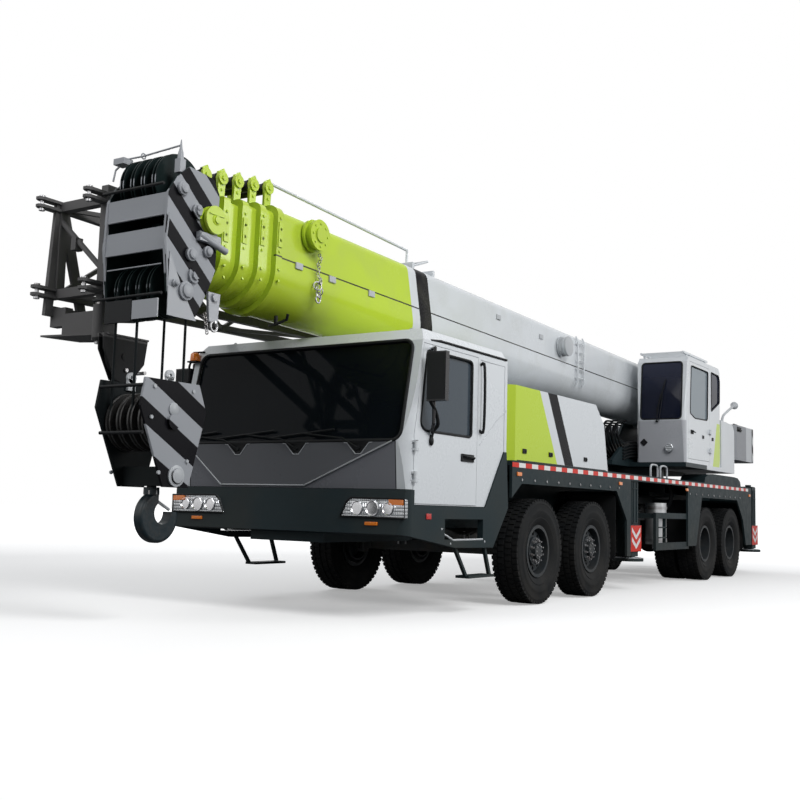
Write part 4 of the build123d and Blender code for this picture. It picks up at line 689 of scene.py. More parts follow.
# ---------------------------------------------------------------- repeated parts
class Pattern(Tree):
    """A geometry tree that sets like parts out by rule, with named inputs."""

    def __init__(self, name, inputs):
        super().__init__(bpy.data.node_groups.new(name, "GeometryNodeTree"))
        self.tree.interface.new_socket("Geometry", in_out="OUTPUT", socket_type="NodeSocketGeometry")
        self.names = {}
        for label, kind in inputs.items():
            socket = self.tree.interface.new_socket(label, in_out="INPUT", socket_type=kind)
            self.names[label] = socket.identifier
        source = self.tree.nodes.new("NodeGroupInput")
        self.given = {label: Value(self, source.outputs[label]) for label in inputs}

    def close(self, instances):
        solid = self.node("GeometryNodeRealizeInstances", {}, {0: instances})
        painted = self.node("GeometryNodeSetMaterial", {}, {0: solid, "Material": self.given["Finish"]})
        self.node("NodeGroupOutput", {}, {0: painted})
        return self

    def lay(self, name, finish_name, body, **values):
        """Runs the tree with these values and keeps the result as a plain mesh."""
        carrier = bpy.data.objects.new(name, bpy.data.meshes.new(name))
        bpy.context.scene.collection.objects.link(carrier)
        modifier = carrier.modifiers.new("pattern", "NODES")
        modifier.node_group = self.tree
        modifier[self.names["Finish"]] = finish(finish_name)
        for label, value in values.items():
            modifier[self.names[label.replace("_", " ")]] = value
        graph = bpy.context.evaluated_depsgraph_get()
        mesh = bpy.data.meshes.new_from_object(carrier.evaluated_get(graph))
        bpy.data.objects.remove(carrier)
        mesh.transform(Matrix.Translation((0, FIRST_AXLE, 0)))
        return fitted(name, mesh, finish_name, body)


def make_row_pattern():
    """Blocks in a straight row."""
    p = Pattern("Row of blocks", {"Finish": "NodeSocketMaterial", "Count": "NodeSocketInt",
            "Start": "NodeSocketVector", "Step": "NodeSocketVector", "Size": "NodeSocketVector",
            "Turn": "NodeSocketVector"})
    line = p.node("GeometryNodeMeshLine", {"mode": "OFFSET"}, {"Count": p.given["Count"],
            "Start Location": p.given["Start"], "Offset": p.given["Step"]})
    cube = p.node("GeometryNodeMeshCube", {}, {"Size": p.given["Size"]})
    placed = p.node("GeometryNodeInstanceOnPoints", {}, {"Points": line, "Instance": cube,
            "Rotation": p.given["Turn"]})
    return p.close(placed)


def make_ring_pattern():
    """Short rods round a circle that faces along x."""
    p = Pattern("Ring of rods", {"Finish": "NodeSocketMaterial", "Count": "NodeSocketInt",
            "Centre": "NodeSocketVector", "Ring radius": "NodeSocketFloat",
            "Rod radius": "NodeSocketFloat", "Length": "NodeSocketFloat", "Sides": "NodeSocketInt",
            "Facing": "NodeSocketVector"})
    circle = p.node("GeometryNodeMeshCircle", {}, {"Vertices": p.given["Count"],
            "Radius": p.given["Ring radius"]})
    rod = p.node("GeometryNodeMeshCylinder", {}, {"Vertices": p.given["Sides"],
            "Radius": p.given["Rod radius"], "Depth": p.given["Length"]})
    ring = p.node("GeometryNodeInstanceOnPoints", {}, {"Points": circle, "Instance": rod})
    turned = p.node("GeometryNodeTransform", {}, {0: ring, "Translation": p.given["Centre"],
            "Rotation": p.given["Facing"]})
    return p.close(turned)


def make_tread_pattern():
    """Tread blocks round a tyre whose axle runs along x."""
    p = Pattern("Tyre tread", {"Finish": "NodeSocketMaterial", "Count": "NodeSocketInt",
            "Centre": "NodeSocketVector", "Radius": "NodeSocketFloat", "Block": "NodeSocketVector",
            "Offset": "NodeSocketFloat", "Start angle": "NodeSocketFloat"})
    line = p.node("GeometryNodeMeshLine", {"mode": "OFFSET"}, {"Count": p.given["Count"],
            "Offset": (0, 0, 0)})
    index = p.node("GeometryNodeInputIndex")
    angle = index * p.node("ShaderNodeMath", {"operation": "DIVIDE"},
            {0: 2 * math.pi, 1: p.given["Count"]})
    angle = angle + p.given["Start angle"]
    y = angle.maths("SINE") * p.given["Radius"] * -1.0
    z = angle.maths("COSINE") * p.given["Radius"]
    where = p.node("ShaderNodeCombineXYZ", {}, {"X": p.given["Offset"], "Y": y, "Z": z})
    points = p.node("GeometryNodeSetPosition", {}, {"Geometry": line, "Position": where})
    turn = p.node("ShaderNodeCombineXYZ", {}, {"X": angle})
    block = p.node("GeometryNodeMeshCube", {}, {"Size": p.given["Block"]})
    ring = p.node("GeometryNodeInstanceOnPoints", {}, {"Points": points, "Instance": block,
            "Rotation": turn})
    moved = p.node("GeometryNodeTransform", {}, {0: ring, "Translation": p.given["Centre"]})
    return p.close(moved)


def make_winding_pattern():
    """Rope wound side by side on a drum along x."""
    p = Pattern("Rope winding", {"Finish": "NodeSocketMaterial", "Turns": "NodeSocketFloat",
            "Centre": "NodeSocketVector", "Radius": "NodeSocketFloat", "Width": "NodeSocketFloat",
            "Rope radius": "NodeSocketFloat"})
    coil = p.node("GeometryNodeCurveSpiral", {}, {"Resolution": 24, "Rotations": p.given["Turns"],
            "Start Radius": p.given["Radius"], "End Radius": p.given["Radius"],
            "Height": p.given["Width"]})
    section = p.node("GeometryNodeCurvePrimitiveCircle", {}, {"Resolution": 6,
            "Radius": p.given["Rope radius"]})
    rope = p.node("GeometryNodeCurveToMesh", {}, {"Curve": coil, "Profile Curve": section,
            "Fill Caps": True})
    moved = p.node("GeometryNodeTransform", {}, {0: rope, "Rotation": SIDEWAYS,
            "Translation": p.given["Centre"]})
    return p.close(moved)


PATTERNS = {}
SIDEWAYS = (0, math.pi / 2, 0)


def pattern(name):
    makers = {"row": make_row_pattern, "ring": make_ring_pattern, "tread": make_tread_pattern,
            "winding": make_winding_pattern}
    if name not in PATTERNS:
        PATTERNS[name] = makers[name]()
    return PATTERNS[name]


def joined(name, pieces):
    """One object from several with the same finish and body."""
    mesh = bmesh.new()
    for piece in pieces:
        mesh.from_mesh(piece.data)
    first = pieces[0]
    kept = bpy.data.meshes.new(name)
    mesh.to_mesh(kept)
    mesh.free()
    finish_name, body = first.data.materials[0].name, first["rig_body"]
    for piece in pieces:
        bpy.data.objects.remove(piece)
    return fitted(name, kept, finish_name, body)


# ---------------------------------------------------------------- settings
class CraneSettings(bpy.types.PropertyGroup):
    """Sizes that a user may change before building."""
    tread_blocks: bpy.props.IntProperty(name="Tread blocks", description="Blocks in one row round a tyre",
            default=54, min=12, max=120)
    tread_depth: bpy.props.FloatProperty(name="Tread depth", description="Depth of the tyre's grooves",
            default=0.014, unit="LENGTH")
    wheel_nuts: bpy.props.IntProperty(name="Wheel nuts", description="Nuts that hold one wheel",
            default=10, min=6, max=12)
    tape_length: bpy.props.FloatProperty(name="Tape length",
            description="Length of one colour of the edge tape", default=0.15, unit="LENGTH")
    rope_turns: bpy.props.FloatProperty(name="Rope turns", description="Turns of rope on the winch drum",
            default=27.0)
    floor_colour: bpy.props.FloatVectorProperty(name="Floor", description="Colour of the studio floor",
            subtype="COLOR", default=(0.82, 0.82, 0.82))


def settings():
    return bpy.context.scene.crane


# ---------------------------------------------------------------- stage
CAMERA_PLACE = (6.156, -10.236, 0.972)
CAMERA_YAW, CAMERA_PITCH, CAMERA_ROLL = (math.radians(a) for a in (33.033, 5.947, 1.505))
LENS, SENSOR = 46.93, 36.0


def camera_matrix():
    yaw, pitch, roll = CAMERA_YAW, CAMERA_PITCH, CAMERA_ROLL
    ahead = Vector((-math.sin(yaw) * math.cos(pitch), math.cos(yaw) * math.cos(pitch), math.sin(pitch)))
    right = Vector((math.cos(yaw), math.sin(yaw), 0))
    up = right.cross(ahead)
    leaned_right = right * math.cos(roll) + up * math.sin(roll)
    leaned_up = up * math.cos(roll) - right * math.sin(roll)
    columns = Matrix((leaned_right, leaned_up, -ahead)).transposed().to_4x4()
    return Matrix.Translation(Vector(CAMERA_PLACE) + Vector((0, FIRST_AXLE, 0))) @ columns


class CRANE_OT_stage(bpy.types.Operator):
    """Camera, lamps, world and the pale studio floor"""
    bl_idname = "crane.stage"
    bl_label = "Stage"

    def execute(self, context):
        scene = context.scene
        scene.view_settings.view_transform = "Standard"
        camera = bpy.data.objects.new("camera", bpy.data.cameras.new("camera"))
        camera.data.lens, camera.data.sensor_width, camera.data.clip_end = LENS, SENSOR, 300
        camera.matrix_world = camera_matrix()
        scene.collection.objects.link(camera)
        scene.camera = camera
        lamps = (("key", (10.0, -7.0, 9.0), (0, -1.0, 1.5), 6.0, 900),
                ("side", (12.0, 4.0, 6.0), (0, 1.0, 1.5), 6.0, 520), ("rim", (-9.0, 4.0, 8.0),
                (0, 0, 2.0), 6.0, 320), ("front", (-2.0, -13.0, 6.0), (0, -4.0, 2.0), 5.0, 190))
        for name, place, aim, size, power in lamps:
            lamp = bpy.data.lights.new(name, "AREA")
            lamp.shape, lamp.size, lamp.energy = "DISK", size, power
            holder = bpy.data.objects.new(name, lamp)
            holder.location = place
            holder.rotation_euler = (Vector(aim) - Vector(place)).to_track_quat("-Z", "Y").to_euler()
            scene.collection.objects.link(holder)
        self.world(scene)
        self.floor(scene)
        return {"FINISHED"}

    def world(self, scene):
        """White where the camera, gloss or glass looks at it, and a soft grey as a lamp."""
        world = bpy.data.worlds.new("studio")
        world.use_nodes = True
        scene.world = world
        tree = Tree(world.node_tree)
        tree.tree.nodes.clear()
        seen = tree.node("ShaderNodeLightPath", {}, {}, output=0)
        gloss = tree.node("ShaderNodeLightPath", {}, {}, output=3)
        glass = tree.node("ShaderNodeLightPath", {}, {}, output=6)
        shown = seen.maths("MAXIMUM", gloss.maths("MAXIMUM", glass))
        soft = tree.node("ShaderNodeBackground", {}, {"Color": (0.93, 0.96, 1.0, 1.0), "Strength": 0.30})
        white = tree.node("ShaderNodeBackground", {}, {"Color": (1, 1, 1, 1), "Strength": 1.0})
        mixed = tree.node("ShaderNodeMixShader", {}, {0: shown, 1: soft, 2: white})
        tree.node("ShaderNodeOutputWorld", {}, {"Surface": mixed})

    def floor(self, scene):
        """Pale floor that keeps the shadow and fades into the white background."""
        floor = Finish("studio_floor")
        speck = floor.noise(30.0, 4.0)
        colour = floor.mix(speck * 0.06, settings().floor_colour[:], (0.7, 0.7, 0.7))
        seen = floor.node("ShaderNodeLightPath", {}, {}, output=0)
        plain = floor.node("ShaderNodeBsdfDiffuse", {}, {"Color": floor.mix(seen, (0.17, 0.175, 0.18),
                colour)})
        far_off = (floor.x * floor.x + floor.y * floor.y).maths("SQRT").above(15.0, 6.0)
        glow = floor.node("ShaderNodeEmission", {}, {"Color": (1, 1, 1, 1),
                "Strength": seen * (far_off * 0.8 + 0.34)})
        both = floor.node("ShaderNodeAddShader", {}, {0: plain, 1: glow})
        floor.node("ShaderNodeOutputMaterial", {}, {"Surface": both})
        mesh = bpy.data.meshes.new("floor")
        far = 120.0
        mesh.from_pydata([(-far, -far, 0), (far, -far, 0), (far, far, 0), (-far, far, 0)], [],
                [(0, 1, 2, 3)])
        mesh.materials.append(floor.material)
        ground = bpy.data.objects.new("floor", mesh)
        scene.collection.objects.link(ground)


class CRANE_OT_paintwork(bpy.types.Operator):
    """Finishes of every piece of the frame"""
    bl_idname = "crane.paintwork"
    bl_label = "Paintwork"

    def execute(self, context):
        slots = {row["node"]: row["material_slot"] for row in frame["record"]["subparts"]}
        for name, node in NODES.items():
            chosen = NODE_FINISHES.get(name) or CAD_FINISHES[slots[name]]
            node.data.materials.clear()
            node.data.materials.append(finish(chosen))
        return {"FINISHED"}


# ---------------------------------------------------------------- wheels
class CRANE_OT_tyres(bpy.types.Operator):
    """Tyres with grooved tread blocks and ribbed sidewalls"""
    bl_idname = "crane.tyres"
    bl_label = "Tyres"

    def execute(self, context):
        for number in (1, 2, 3, 4):
            for side, sign in SIDES:
                self.wheel(number, side, sign)
        return {"FINISHED"}

    def wheel(self, number, side, sign):
        node = f"tyre_{number}_{side}"
        low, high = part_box(node)
        y = AXLES[number - 1]
        width = 0.310
        centres = [low.x + width / 2] if number in STEERED else [low.x + width / 2, high.x - width / 2]
        model = Model()
        treads = []
        depth, count = settings().tread_depth, settings().tread_blocks
        for index, x in enumerate(centres):
            model.turned(self.carcass(width, depth), (x, y, TYRE_RADIUS), (1, 0, 0), sides=72,
                    hollow=True)
            rows = ((-0.118, 0.056, 0.030, 0.5), (-0.042, 0.058, 0.036, 0.0), (0.042, 0.058, 0.036, 0.5),
                    (0.118, 0.056, 0.030, 0.0))
            for row, (offset, across, span, stagger) in enumerate(rows):
                treads.append(pattern("tread").lay(
                    f"tread_{number}_{side}_{index}_{row}", "rubber", f"wheel_{number}_{side}", Count=count,
                    Centre=(x, y, TYRE_RADIUS), Radius=TYRE_RADIUS - 0.0165 - abs(offset) * 0.03,
                    Block=(across, span * 1.35, 0.028), Offset=offset,
                    Start_angle=stagger * 2 * math.pi / count))
        carcass = model.piece(f"tyre_carcass_{number}_{side}", "rubber", f"wheel_{number}_{side}")
        tyre = joined(f"road_tyre_{number}_{side}", [carcass, *treads])
        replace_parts(tyre, node)

    def carcass(self, width, depth):
        """Half sections of the tyre: bead, bulging ribbed sidewall and groove floor."""
        radius = TYRE_RADIUS
        wall = [(0.108, 0.262), (0.108, 0.280), (0.124, 0.302), (0.139, 0.335), (0.146, 0.352),
                (0.143, 0.358), (0.149, 0.385), (0.1545, 0.420), (0.1545, 0.432), (0.1515, 0.440),
                (0.1515, 0.470), (0.1495, 0.500), (0.1515, 0.503), (0.1500, 0.520), (0.1435, 0.530),
                (0.1400, radius - depth - 0.006), (0.1200, radius - depth - 0.003)]
        return [(-x, r) for x, r in wall] + [(x, r) for x, r in reversed(wall)]


class CRANE_OT_wheel_nuts(bpy.types.Operator):
    """Wheel nuts, studs and the bolts of the hub caps"""
    bl_idname = "crane.wheel_nuts"
    bl_label = "Wheel nuts"

    def execute(self, context):
        for number in (1, 2, 3, 4):
            y = AXLES[number - 1]
            # where the disc's outer face stands, and the radius of the circle of nuts
            face, ring_radius = (1.281, 0.120) if number in STEERED else (1.106, 0.115)
            cap = 1.317 if number in STEERED else 1.152
            for side, sign in SIDES:
                body = f"wheel_{number}_{side}"
                nuts = pattern("ring").lay(f"nuts_{number}_{side}", "bare_steel", body,
                        Count=settings().wheel_nuts, Centre=(sign * face, y, TYRE_RADIUS),
                        Ring_radius=ring_radius, Rod_radius=0.016, Length=0.024, Sides=6, Facing=SIDEWAYS)
                studs = pattern("ring").lay(f"studs_{number}_{side}", "bare_steel", body,
                        Count=settings().wheel_nuts, Centre=(sign * (face + 0.018), y, TYRE_RADIUS),
                        Ring_radius=ring_radius, Rod_radius=0.009, Length=0.030, Sides=10,
                        Facing=SIDEWAYS)
                joined(f"wheel_nuts_{number}_{side}", [nuts, studs])
                bolts = pattern("ring").lay(f"hub_bolts_{number}_{side}", "bare_steel", body, Count=8,
                        Centre=(sign * cap, y, TYRE_RADIUS), Ring_radius=0.062, Rod_radius=0.009,
                        Length=0.014, Sides=6, Facing=SIDEWAYS)
        return {"FINISHED"}


# ---------------------------------------------------------------- driver's cab
SCREEN_FOOT, SCREEN_HEAD = (-2.700, 1.560), (-2.510, 2.465)
WIPER_PIVOTS = (-0.58, 0.13, 0.83)


def on_front(x, z, out=0.0):
    """Point on the cab's sloping front at the given height."""
    foot, head = SCREEN_FOOT, SCREEN_HEAD
    if z < foot[1]:
        share = (foot[1] - z) / (foot[1] - 1.14)
        return (x, foot[0] + 0.035 * share - out, z)
    share = (z - foot[1]) / (head[1] - foot[1])
    return (x, foot[0] + (head[0] - foot[0]) * share - out, z)


def screen_outline(out=0.0, grow=0.0):
    """Rounded outline of the windscreen on the sloping front."""
    half, low, high, corner = 1.262 + grow, 1.570 - grow, 2.460 + grow, 0.09
    points = []
    for cx, cz, start in ((half - corner, high - corner, 0), (corner - half, high - corner, 90),
            (corner - half, low + corner, 180), (half - corner, low + corner, 270)):
        for step in range(7):
            a = math.radians(start + 15 * step)
            points.append(on_front(cx + corner * math.cos(a), cz + corner * math.sin(a), out))
    return points


class CRANE_OT_cab_front(bpy.types.Operator):
    """Windscreen seal, wipers, front panel relief and headlamps"""
    bl_idname = "crane.cab_front"
    bl_label = "Cab front"

    def execute(self, context):
        Model().outlined(screen_outline(0.002, 0.006), 0.016).piece("screen_seal", "trim", "root")
        crest = [(-1.10, 1.43), (-0.80, 1.165), (0.22, 1.165), (1.17, 1.55)]
        for x in reversed(WIPER_PIVOTS):
            crest += [(x + 0.12, 1.55), (x + 0.025, 1.455), (x - 0.025, 1.455), (x - 0.12, 1.55)]
        crest.append((-1.10, 1.55))
        scuttle = Model()
        for x in WIPER_PIVOTS:
            scuttle.outlined([on_front(x + dx, z, 0.004) for dx, z in ((0.11, 1.548), (0.02, 1.46),
                    (-0.02, 1.46), (-0.11, 1.548))], 0.012)
            corners = [scuttle.mesh.verts.new(on_front(x + dx, z, 0.006))
                    for dx, z in ((0.12, 1.556), (-0.12, 1.556), (-0.025, 1.452), (0.025, 1.452))]
            scuttle.mesh.faces.new(corners)
        scuttle.piece("scuttle", "trim", "root")
        ridge = Model().drawn([on_front(x, z, 0.012) for x, z in crest], (0, 0.03, 0))
        ridge.piece("front_panel", "panel_paint", "root", soften=0.004)
        rim = Model()
        rim.pipe([on_front(x, z, 0.013) for x, z in [(-1.19, 1.50), (-0.80, 1.162), (0.22, 1.162),
                (1.19, 1.555)]], 0.007, sides=6)
        for x in WIPER_PIVOTS:
            rim.pipe([on_front(x + dx, z, 0.014) for dx, z in ((0.15, 1.545), (0.12, 1.543),
                    (0.03, 1.446), (-0.03, 1.446), (-0.12, 1.543), (-0.15, 1.545))], 0.004, 6)
        rim.piece("front_crease", "edge_paint", "root")
        self.wipers()
        for side, sign in SIDES:
            self.headlamp(side, sign)
        return {"FINISHED"}

    def wipers(self):
        wipers = Model()
        for x in WIPER_PIVOTS:
            pivot, knee = on_front(x, 1.50, 0.02), on_front(x - 0.16, 1.585, 0.035)
            tip = on_front(x - 0.62, 1.635, 0.022)
            wipers.rod(on_front(x, 1.50, -0.01), pivot, 0.022, 0.016, 12)
            wipers.pipe([pivot, knee, tip], 0.008, 6)
            blade = [on_front(x - 0.98, 1.602, 0.012), on_front(x - 0.28, 1.668, 0.012)]
            wipers.pipe(blade, 0.010, 6)
            wipers.pipe([on_front(x - 0.8, 1.618, 0.014), tip, on_front(x - 0.44, 1.652, 0.014)], 0.006,
                    6)
        wipers.piece("wipers", "trim", "root")

    def headlamp(self, side, sign):
        """Slanted lamp unit: housing, reflector bowls, amber corner, clear bezel."""
        y = -2.752
        shape = [(0.69, 0.892), (1.362, 0.888), (1.362, 1.052), (0.80, 1.058), (0.75, 1.02)]
        lamp = Model()
        lamp.along(shape, y + 0.006, y + 0.06)
        lamp.flipped(sign).piece(f"headlamp_{side}", "polished_lamp", "root", soften=0.006)
        bowls = Model()
        for x, radius in ((0.865, 0.062), (1.03, 0.068), (1.19, 0.056)):
            bowls.turned([(0.0, radius), (0.010, radius), (0.012, radius * 0.94), (0.004, radius * 0.88),
                    (-0.012, radius * 0.62), (-0.020, radius * 0.30), (-0.010, radius * 0.22),
                    (-0.004, radius * 0.10)], (x, y + 0.004, 0.968), (0, -1, 0), 28)
        bowls.flipped(sign).piece(f"headlamp_bowls_{side}", "chrome", "root")
        corner = Model().along([(1.20, 1.003), (1.352, 0.998), (1.352, 1.046), (1.20, 1.050)], y - 0.006,
                y + 0.02)
        corner.flipped(sign).piece(f"indicator_{side}", "amber_lens", "root", soften=0.004)
        bezel = Model().outlined([(x, y + 0.002, z) for x, z in shape], 0.009)
        bezel.flipped(sign).piece(f"headlamp_bezel_{side}", "trim", "root")
        small = Model().block((0.96, 1.09), (-2.762, -2.735), (0.822, 0.852))
        small.flipped(sign).piece(f"front_marker_{side}", "amber_lens", "root", soften=0.004)


class CRANE_OT_cab_sides(bpy.types.Operator):
    """Window seals, handles, rails, mirrors, beacon and lifting eyes"""
    bl_idname = "crane.cab_sides"
    bl_label = "Cab sides"

    def execute(self, context):
        for side, sign in SIDES:
            door = f"cab_door_{side}"
            window = [(-2.525, 1.71), (-2.435, 2.38), (-1.61, 2.38), (-1.61, 1.66), (-2.45, 1.66)]
            seal = Model().outlined([(1.361, y, z) for y, z in rounded_corners(window, 0.05)], 0.012)
            seal.flipped(sign).piece(f"door_seal_{side}", "trim", door)
            handle = Model().block((1.358, 1.372), (-1.80, -1.56), (1.425, 1.495))
            handle.pipe([(1.366, -1.775, 1.478), (1.395, -1.755, 1.472), (1.397, -1.60, 1.462),
                    (1.366, -1.575, 1.452)], 0.011, 8)
            handle.flipped(sign).piece(f"door_handle_{side}", "trim", door, soften=0.004)
            mirror = Model().block((1.432, 1.608), (-2.545, -2.541), (1.925, 2.330))
            mirror.flipped(sign).piece(f"mirror_back_rib_{side}", "trim", door)
            foot = Model().pipe([(1.440, -2.515, 1.93), (1.455, -2.43, 1.83), (1.440, -2.36, 1.72),
                    (1.385, -2.35, 1.66), (1.362, -2.35, 1.58)], 0.017, 10, smooth=5)
            foot.ball((1.372, -2.35, 1.575), 0.030, (0.6, 1, 1.4))
            foot.flipped(sign).piece(f"mirror_foot_{side}", "trim", door)
            glass = Model().block((1.437, 1.603), (-2.480, -2.4765), (2.045, 2.330))
            glass.block((1.437, 1.603), (-2.480, -2.4765), (1.925, 2.025))
            glass.flipped(sign).piece(f"mirror_glass_{side}", "chrome", door)
            rail = Model().pipe([(1.355, -1.445, 1.735), (1.405, -1.445, 1.76), (1.405, -1.445, 2.34),
                    (1.355, -1.445, 2.37)], 0.014, 10, smooth=4)
            rail.flipped(sign).piece(f"grab_rail_{side}", "trim", "root")
            drip = Model().pipe([(1.352, -2.37, 2.475), (1.358, -2.2, 2.492), (1.358, -0.90, 2.492)],
                    0.012, 6)
            drip.flipped(sign).piece(f"drip_rail_{side}", "trim", "root")
            crease = Model().pipe([(1.361, -1.44, 1.60), (1.361, -1.10, 1.86), (1.361, -0.90, 1.98)],
                    0.006, 6)
            crease.pipe([(1.361, -1.44, 2.42), (1.361, -0.94, 2.42), (1.361, -0.94, 1.10)], 0.0045, 6)
            crease.flipped(sign).piece(f"side_crease_{side}", "edge_paint", "root")
            lip = Model().pipe([(1.366, -2.09, 0.755), (1.368, -1.93, 0.700), (1.368, -1.37, 0.702)],
                    0.010, 8)
            for y, z in ((-1.98, 0.668), (-1.33, 0.680), (-2.14, 0.80)):
                lip.ball((1.372, y, z), 0.012, (0.6, 1, 1))
            lip.flipped(sign).piece(f"step_rail_{side}", "edge_paint", "root")
            marker = Model().block((1.374, 1.384), (-2.42, -2.34), (0.885, 0.935))
            marker.flipped(sign).piece(f"side_marker_{side}", "red_lens", "root", soften=0.003)
        bracket = Model().pipe([(-1.24, -2.52, 2.50), (-1.36, -2.55, 2.50), (-1.42, -2.55, 2.36),
                (-1.42, -2.55, 2.22)], 0.012, 8)
        bracket.block((-1.405, -1.285), (-2.60, -2.50), (2.395, 2.41))
        bracket.piece("corner_bracket", "trim", "root")
        beacon = Model().turned([(0, 0.050), (0.012, 0.052), (0.07, 0.046), (0.085, 0.034)],
                (-1.345, -2.55, 2.411), (0, 0, 1), 24)
        beacon.piece("corner_beacon", "amber_lens", "root")
        eyes = Model()
        for x in (-1.03, 1.10):
            eyes.ring((x, -2.30, 2.592), (0, 1, 0), 0.020, 0.005, 16)
        eyes.piece("lifting_eyes", "edge_paint", "root")
        return {"FINISHED"}


def rounded_corners(points, radius, steps=5):
    """The closed outline with its corners rounded."""
    out = []
    count = len(points)
    for index in range(count):
        before, corner, after = (Vector(points[(index + k) % count]) for k in (-1, 0, 1))
        first = corner + (before - corner).normalized() * radius
        last = corner + (after - corner).normalized() * radius
        for step in range(steps + 1):
            t = step / steps
            out.append(tuple(first * (1 - t) ** 2 + corner * 2 * t * (1 - t) + last * t * t))
    return out


# ---------------------------------------------------------------- seats and dashboard
def cushion(name, centre, halves, lean, body):
    """Crowned pad with sewn channels across it, leaning back by an angle."""
    mesh = bmesh.new()
    around, up = 48, 24
    turn = Matrix.Rotation(lean, 3, "X")
    rows = []
    for j in range(up + 1):
        latitude = math.pi * (j / up - 0.5)
        row = []
        for i in range(around):
            longitude = 2 * math.pi * i / around
            flat, rise = power(math.cos(latitude), 0.42), power(math.sin(latitude), 0.62)
            x, y = flat * power(math.cos(longitude), 0.30), flat * power(math.sin(longitude), 0.30)
            channel = 1 - 0.09 * math.exp(-((y * 2.5 + 10) % 1 - 0.5) ** 2 / 0.006) * abs(rise)
            point = Vector((x * halves[0], y * halves[1], rise * halves[2] * channel))
            row.append(mesh.verts.new(Vector(centre) + turn @ point))
        rows.append(row)
    for lower, upper in zip(rows, rows[1:]):
        for i in range(around):
            after = (i + 1) % around
            mesh.faces.new((lower[i], lower[after], upper[after], upper[i]))
    bmesh.ops.remove_doubles(mesh, verts=mesh.verts[:], dist=0.0005)
    model = Model()
    model.mesh.free()
    model.mesh = mesh
    pad = model.piece(name, "woven_cloth", body)
    return pad


def power(value, exponent):
    return math.copysign(abs(value) ** exponent, value)


def seat(name, x, y, floor, body, node):
    """Air-sprung seat: plinth and shell, two cushions and a headrest."""
    base = Model().block((x - 0.17, x + 0.17), (y - 0.17, y + 0.17), (floor, floor + 0.06))
    for step in range(4):
        low = floor + 0.06 + step * 0.05
        base.turned([(0, 0.11), (0.012, 0.14), (0.038, 0.14), (0.05, 0.11)], (x, y, low), (0, 0, 1), 24)
    base.block((x - 0.22, x + 0.22), (y - 0.24, y + 0.20), (floor + 0.255, floor + 0.29))
    base.across([(y + 0.24, floor + 0.30), (y + 0.28, floor + 0.30), (y + 0.375, floor + 1.0),
            (y + 0.345, floor + 1.0)], x - 0.20, x + 0.20)
    shell = base.piece(f"{name}_plinth", "trim", body, soften=0.006)
    pads = [cushion(f"{name}_cushion", (x, y - 0.01, floor + 0.365), (0.245, 0.245, 0.075), 0.0, body),
            cushion(f"{name}_back", (x, y + 0.265, floor + 0.64), (0.235, 0.275, 0.06), math.radians(81),
            body), cushion(f"{name}_headrest", (x, y + 0.325, floor + 0.975), (0.13, 0.07, 0.045),
            math.radians(82), body)]
    for piece in (shell, *pads):
        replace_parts(piece, node)


class CRANE_OT_cab_interior(bpy.types.Operator):
    """Dashboard, steering wheel and the sprung seats of both cabs"""
    bl_idname = "crane.cab_interior"
    bl_label = "Cab interior"

    def execute(self, context):
        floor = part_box("cab_interior")[0].z
        dash = Model().across([(-2.53, floor), (-2.57, 1.49), (-2.30, 1.53), (-2.23, 1.41), (-2.32, 1.33),
                (-2.37, floor)], -1.25, 1.25)
        dash.across([(-2.46, 1.50), (-2.40, 1.60), (-2.30, 1.60), (-2.25, 1.50)], 0.44, 1.0)
        dash.block((-0.20, 0.24), (-2.32, -2.02), (floor, 1.36))
        board = dash.piece("dashboard", "dash_grey", "root", soften=0.02)
        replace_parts(board, "cab_interior")
        hub, column = (0.72, -2.06, 1.59), (0, 0.24, 0.20)
        wheel = Model().ring(hub, column, 0.220, 0.016).rod((0.72, -2.37, 1.34), hub, 0.03)
        wheel.turned([(-0.02, 0.03), (0.0, 0.06), (0.02, 0.055), (0.03, 0.02)], hub, column, 20)
        for end in ((0.505, -2.06, 1.59), (0.935, -2.06, 1.59), (0.72, -1.922, 1.425)):
            wheel.rod(hub, end, 0.012)
        rim = wheel.piece("steering_wheel", "trim", "root")
        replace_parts(rim, "cab_interior")
        dials = Model()
        for x in (0.55, 0.66, 0.78, 0.89):
            dials.turned([(0, 0.044), (0.006, 0.046), (0.008, 0.04)], (x, -2.262, 1.545), (0, 1, -0.5),
                    24)
        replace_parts(dials.piece("dial_bezels", "chrome", "root"), "cab_interior")
        for name, x in (("driver_seat", 0.72), ("mate_seat", -0.72)):
            seat(name, x, -1.57, floor, "root", "cab_interior")
        seat("crane_seat", 0.915, 6.05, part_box("operator_seat")[0].z, "superstructure", "operator_seat")
        return {"FINISHED"}


# ---------------------------------------------------------------- chassis
DECK_FRONT, DECK_REAR = -0.77, 8.43
JACK_X = 1.255
BOARDS = (("front", "left", 2.785), ("front", "right", 3.085), ("rear", "left", 8.70),
        ("rear", "right", 9.00))


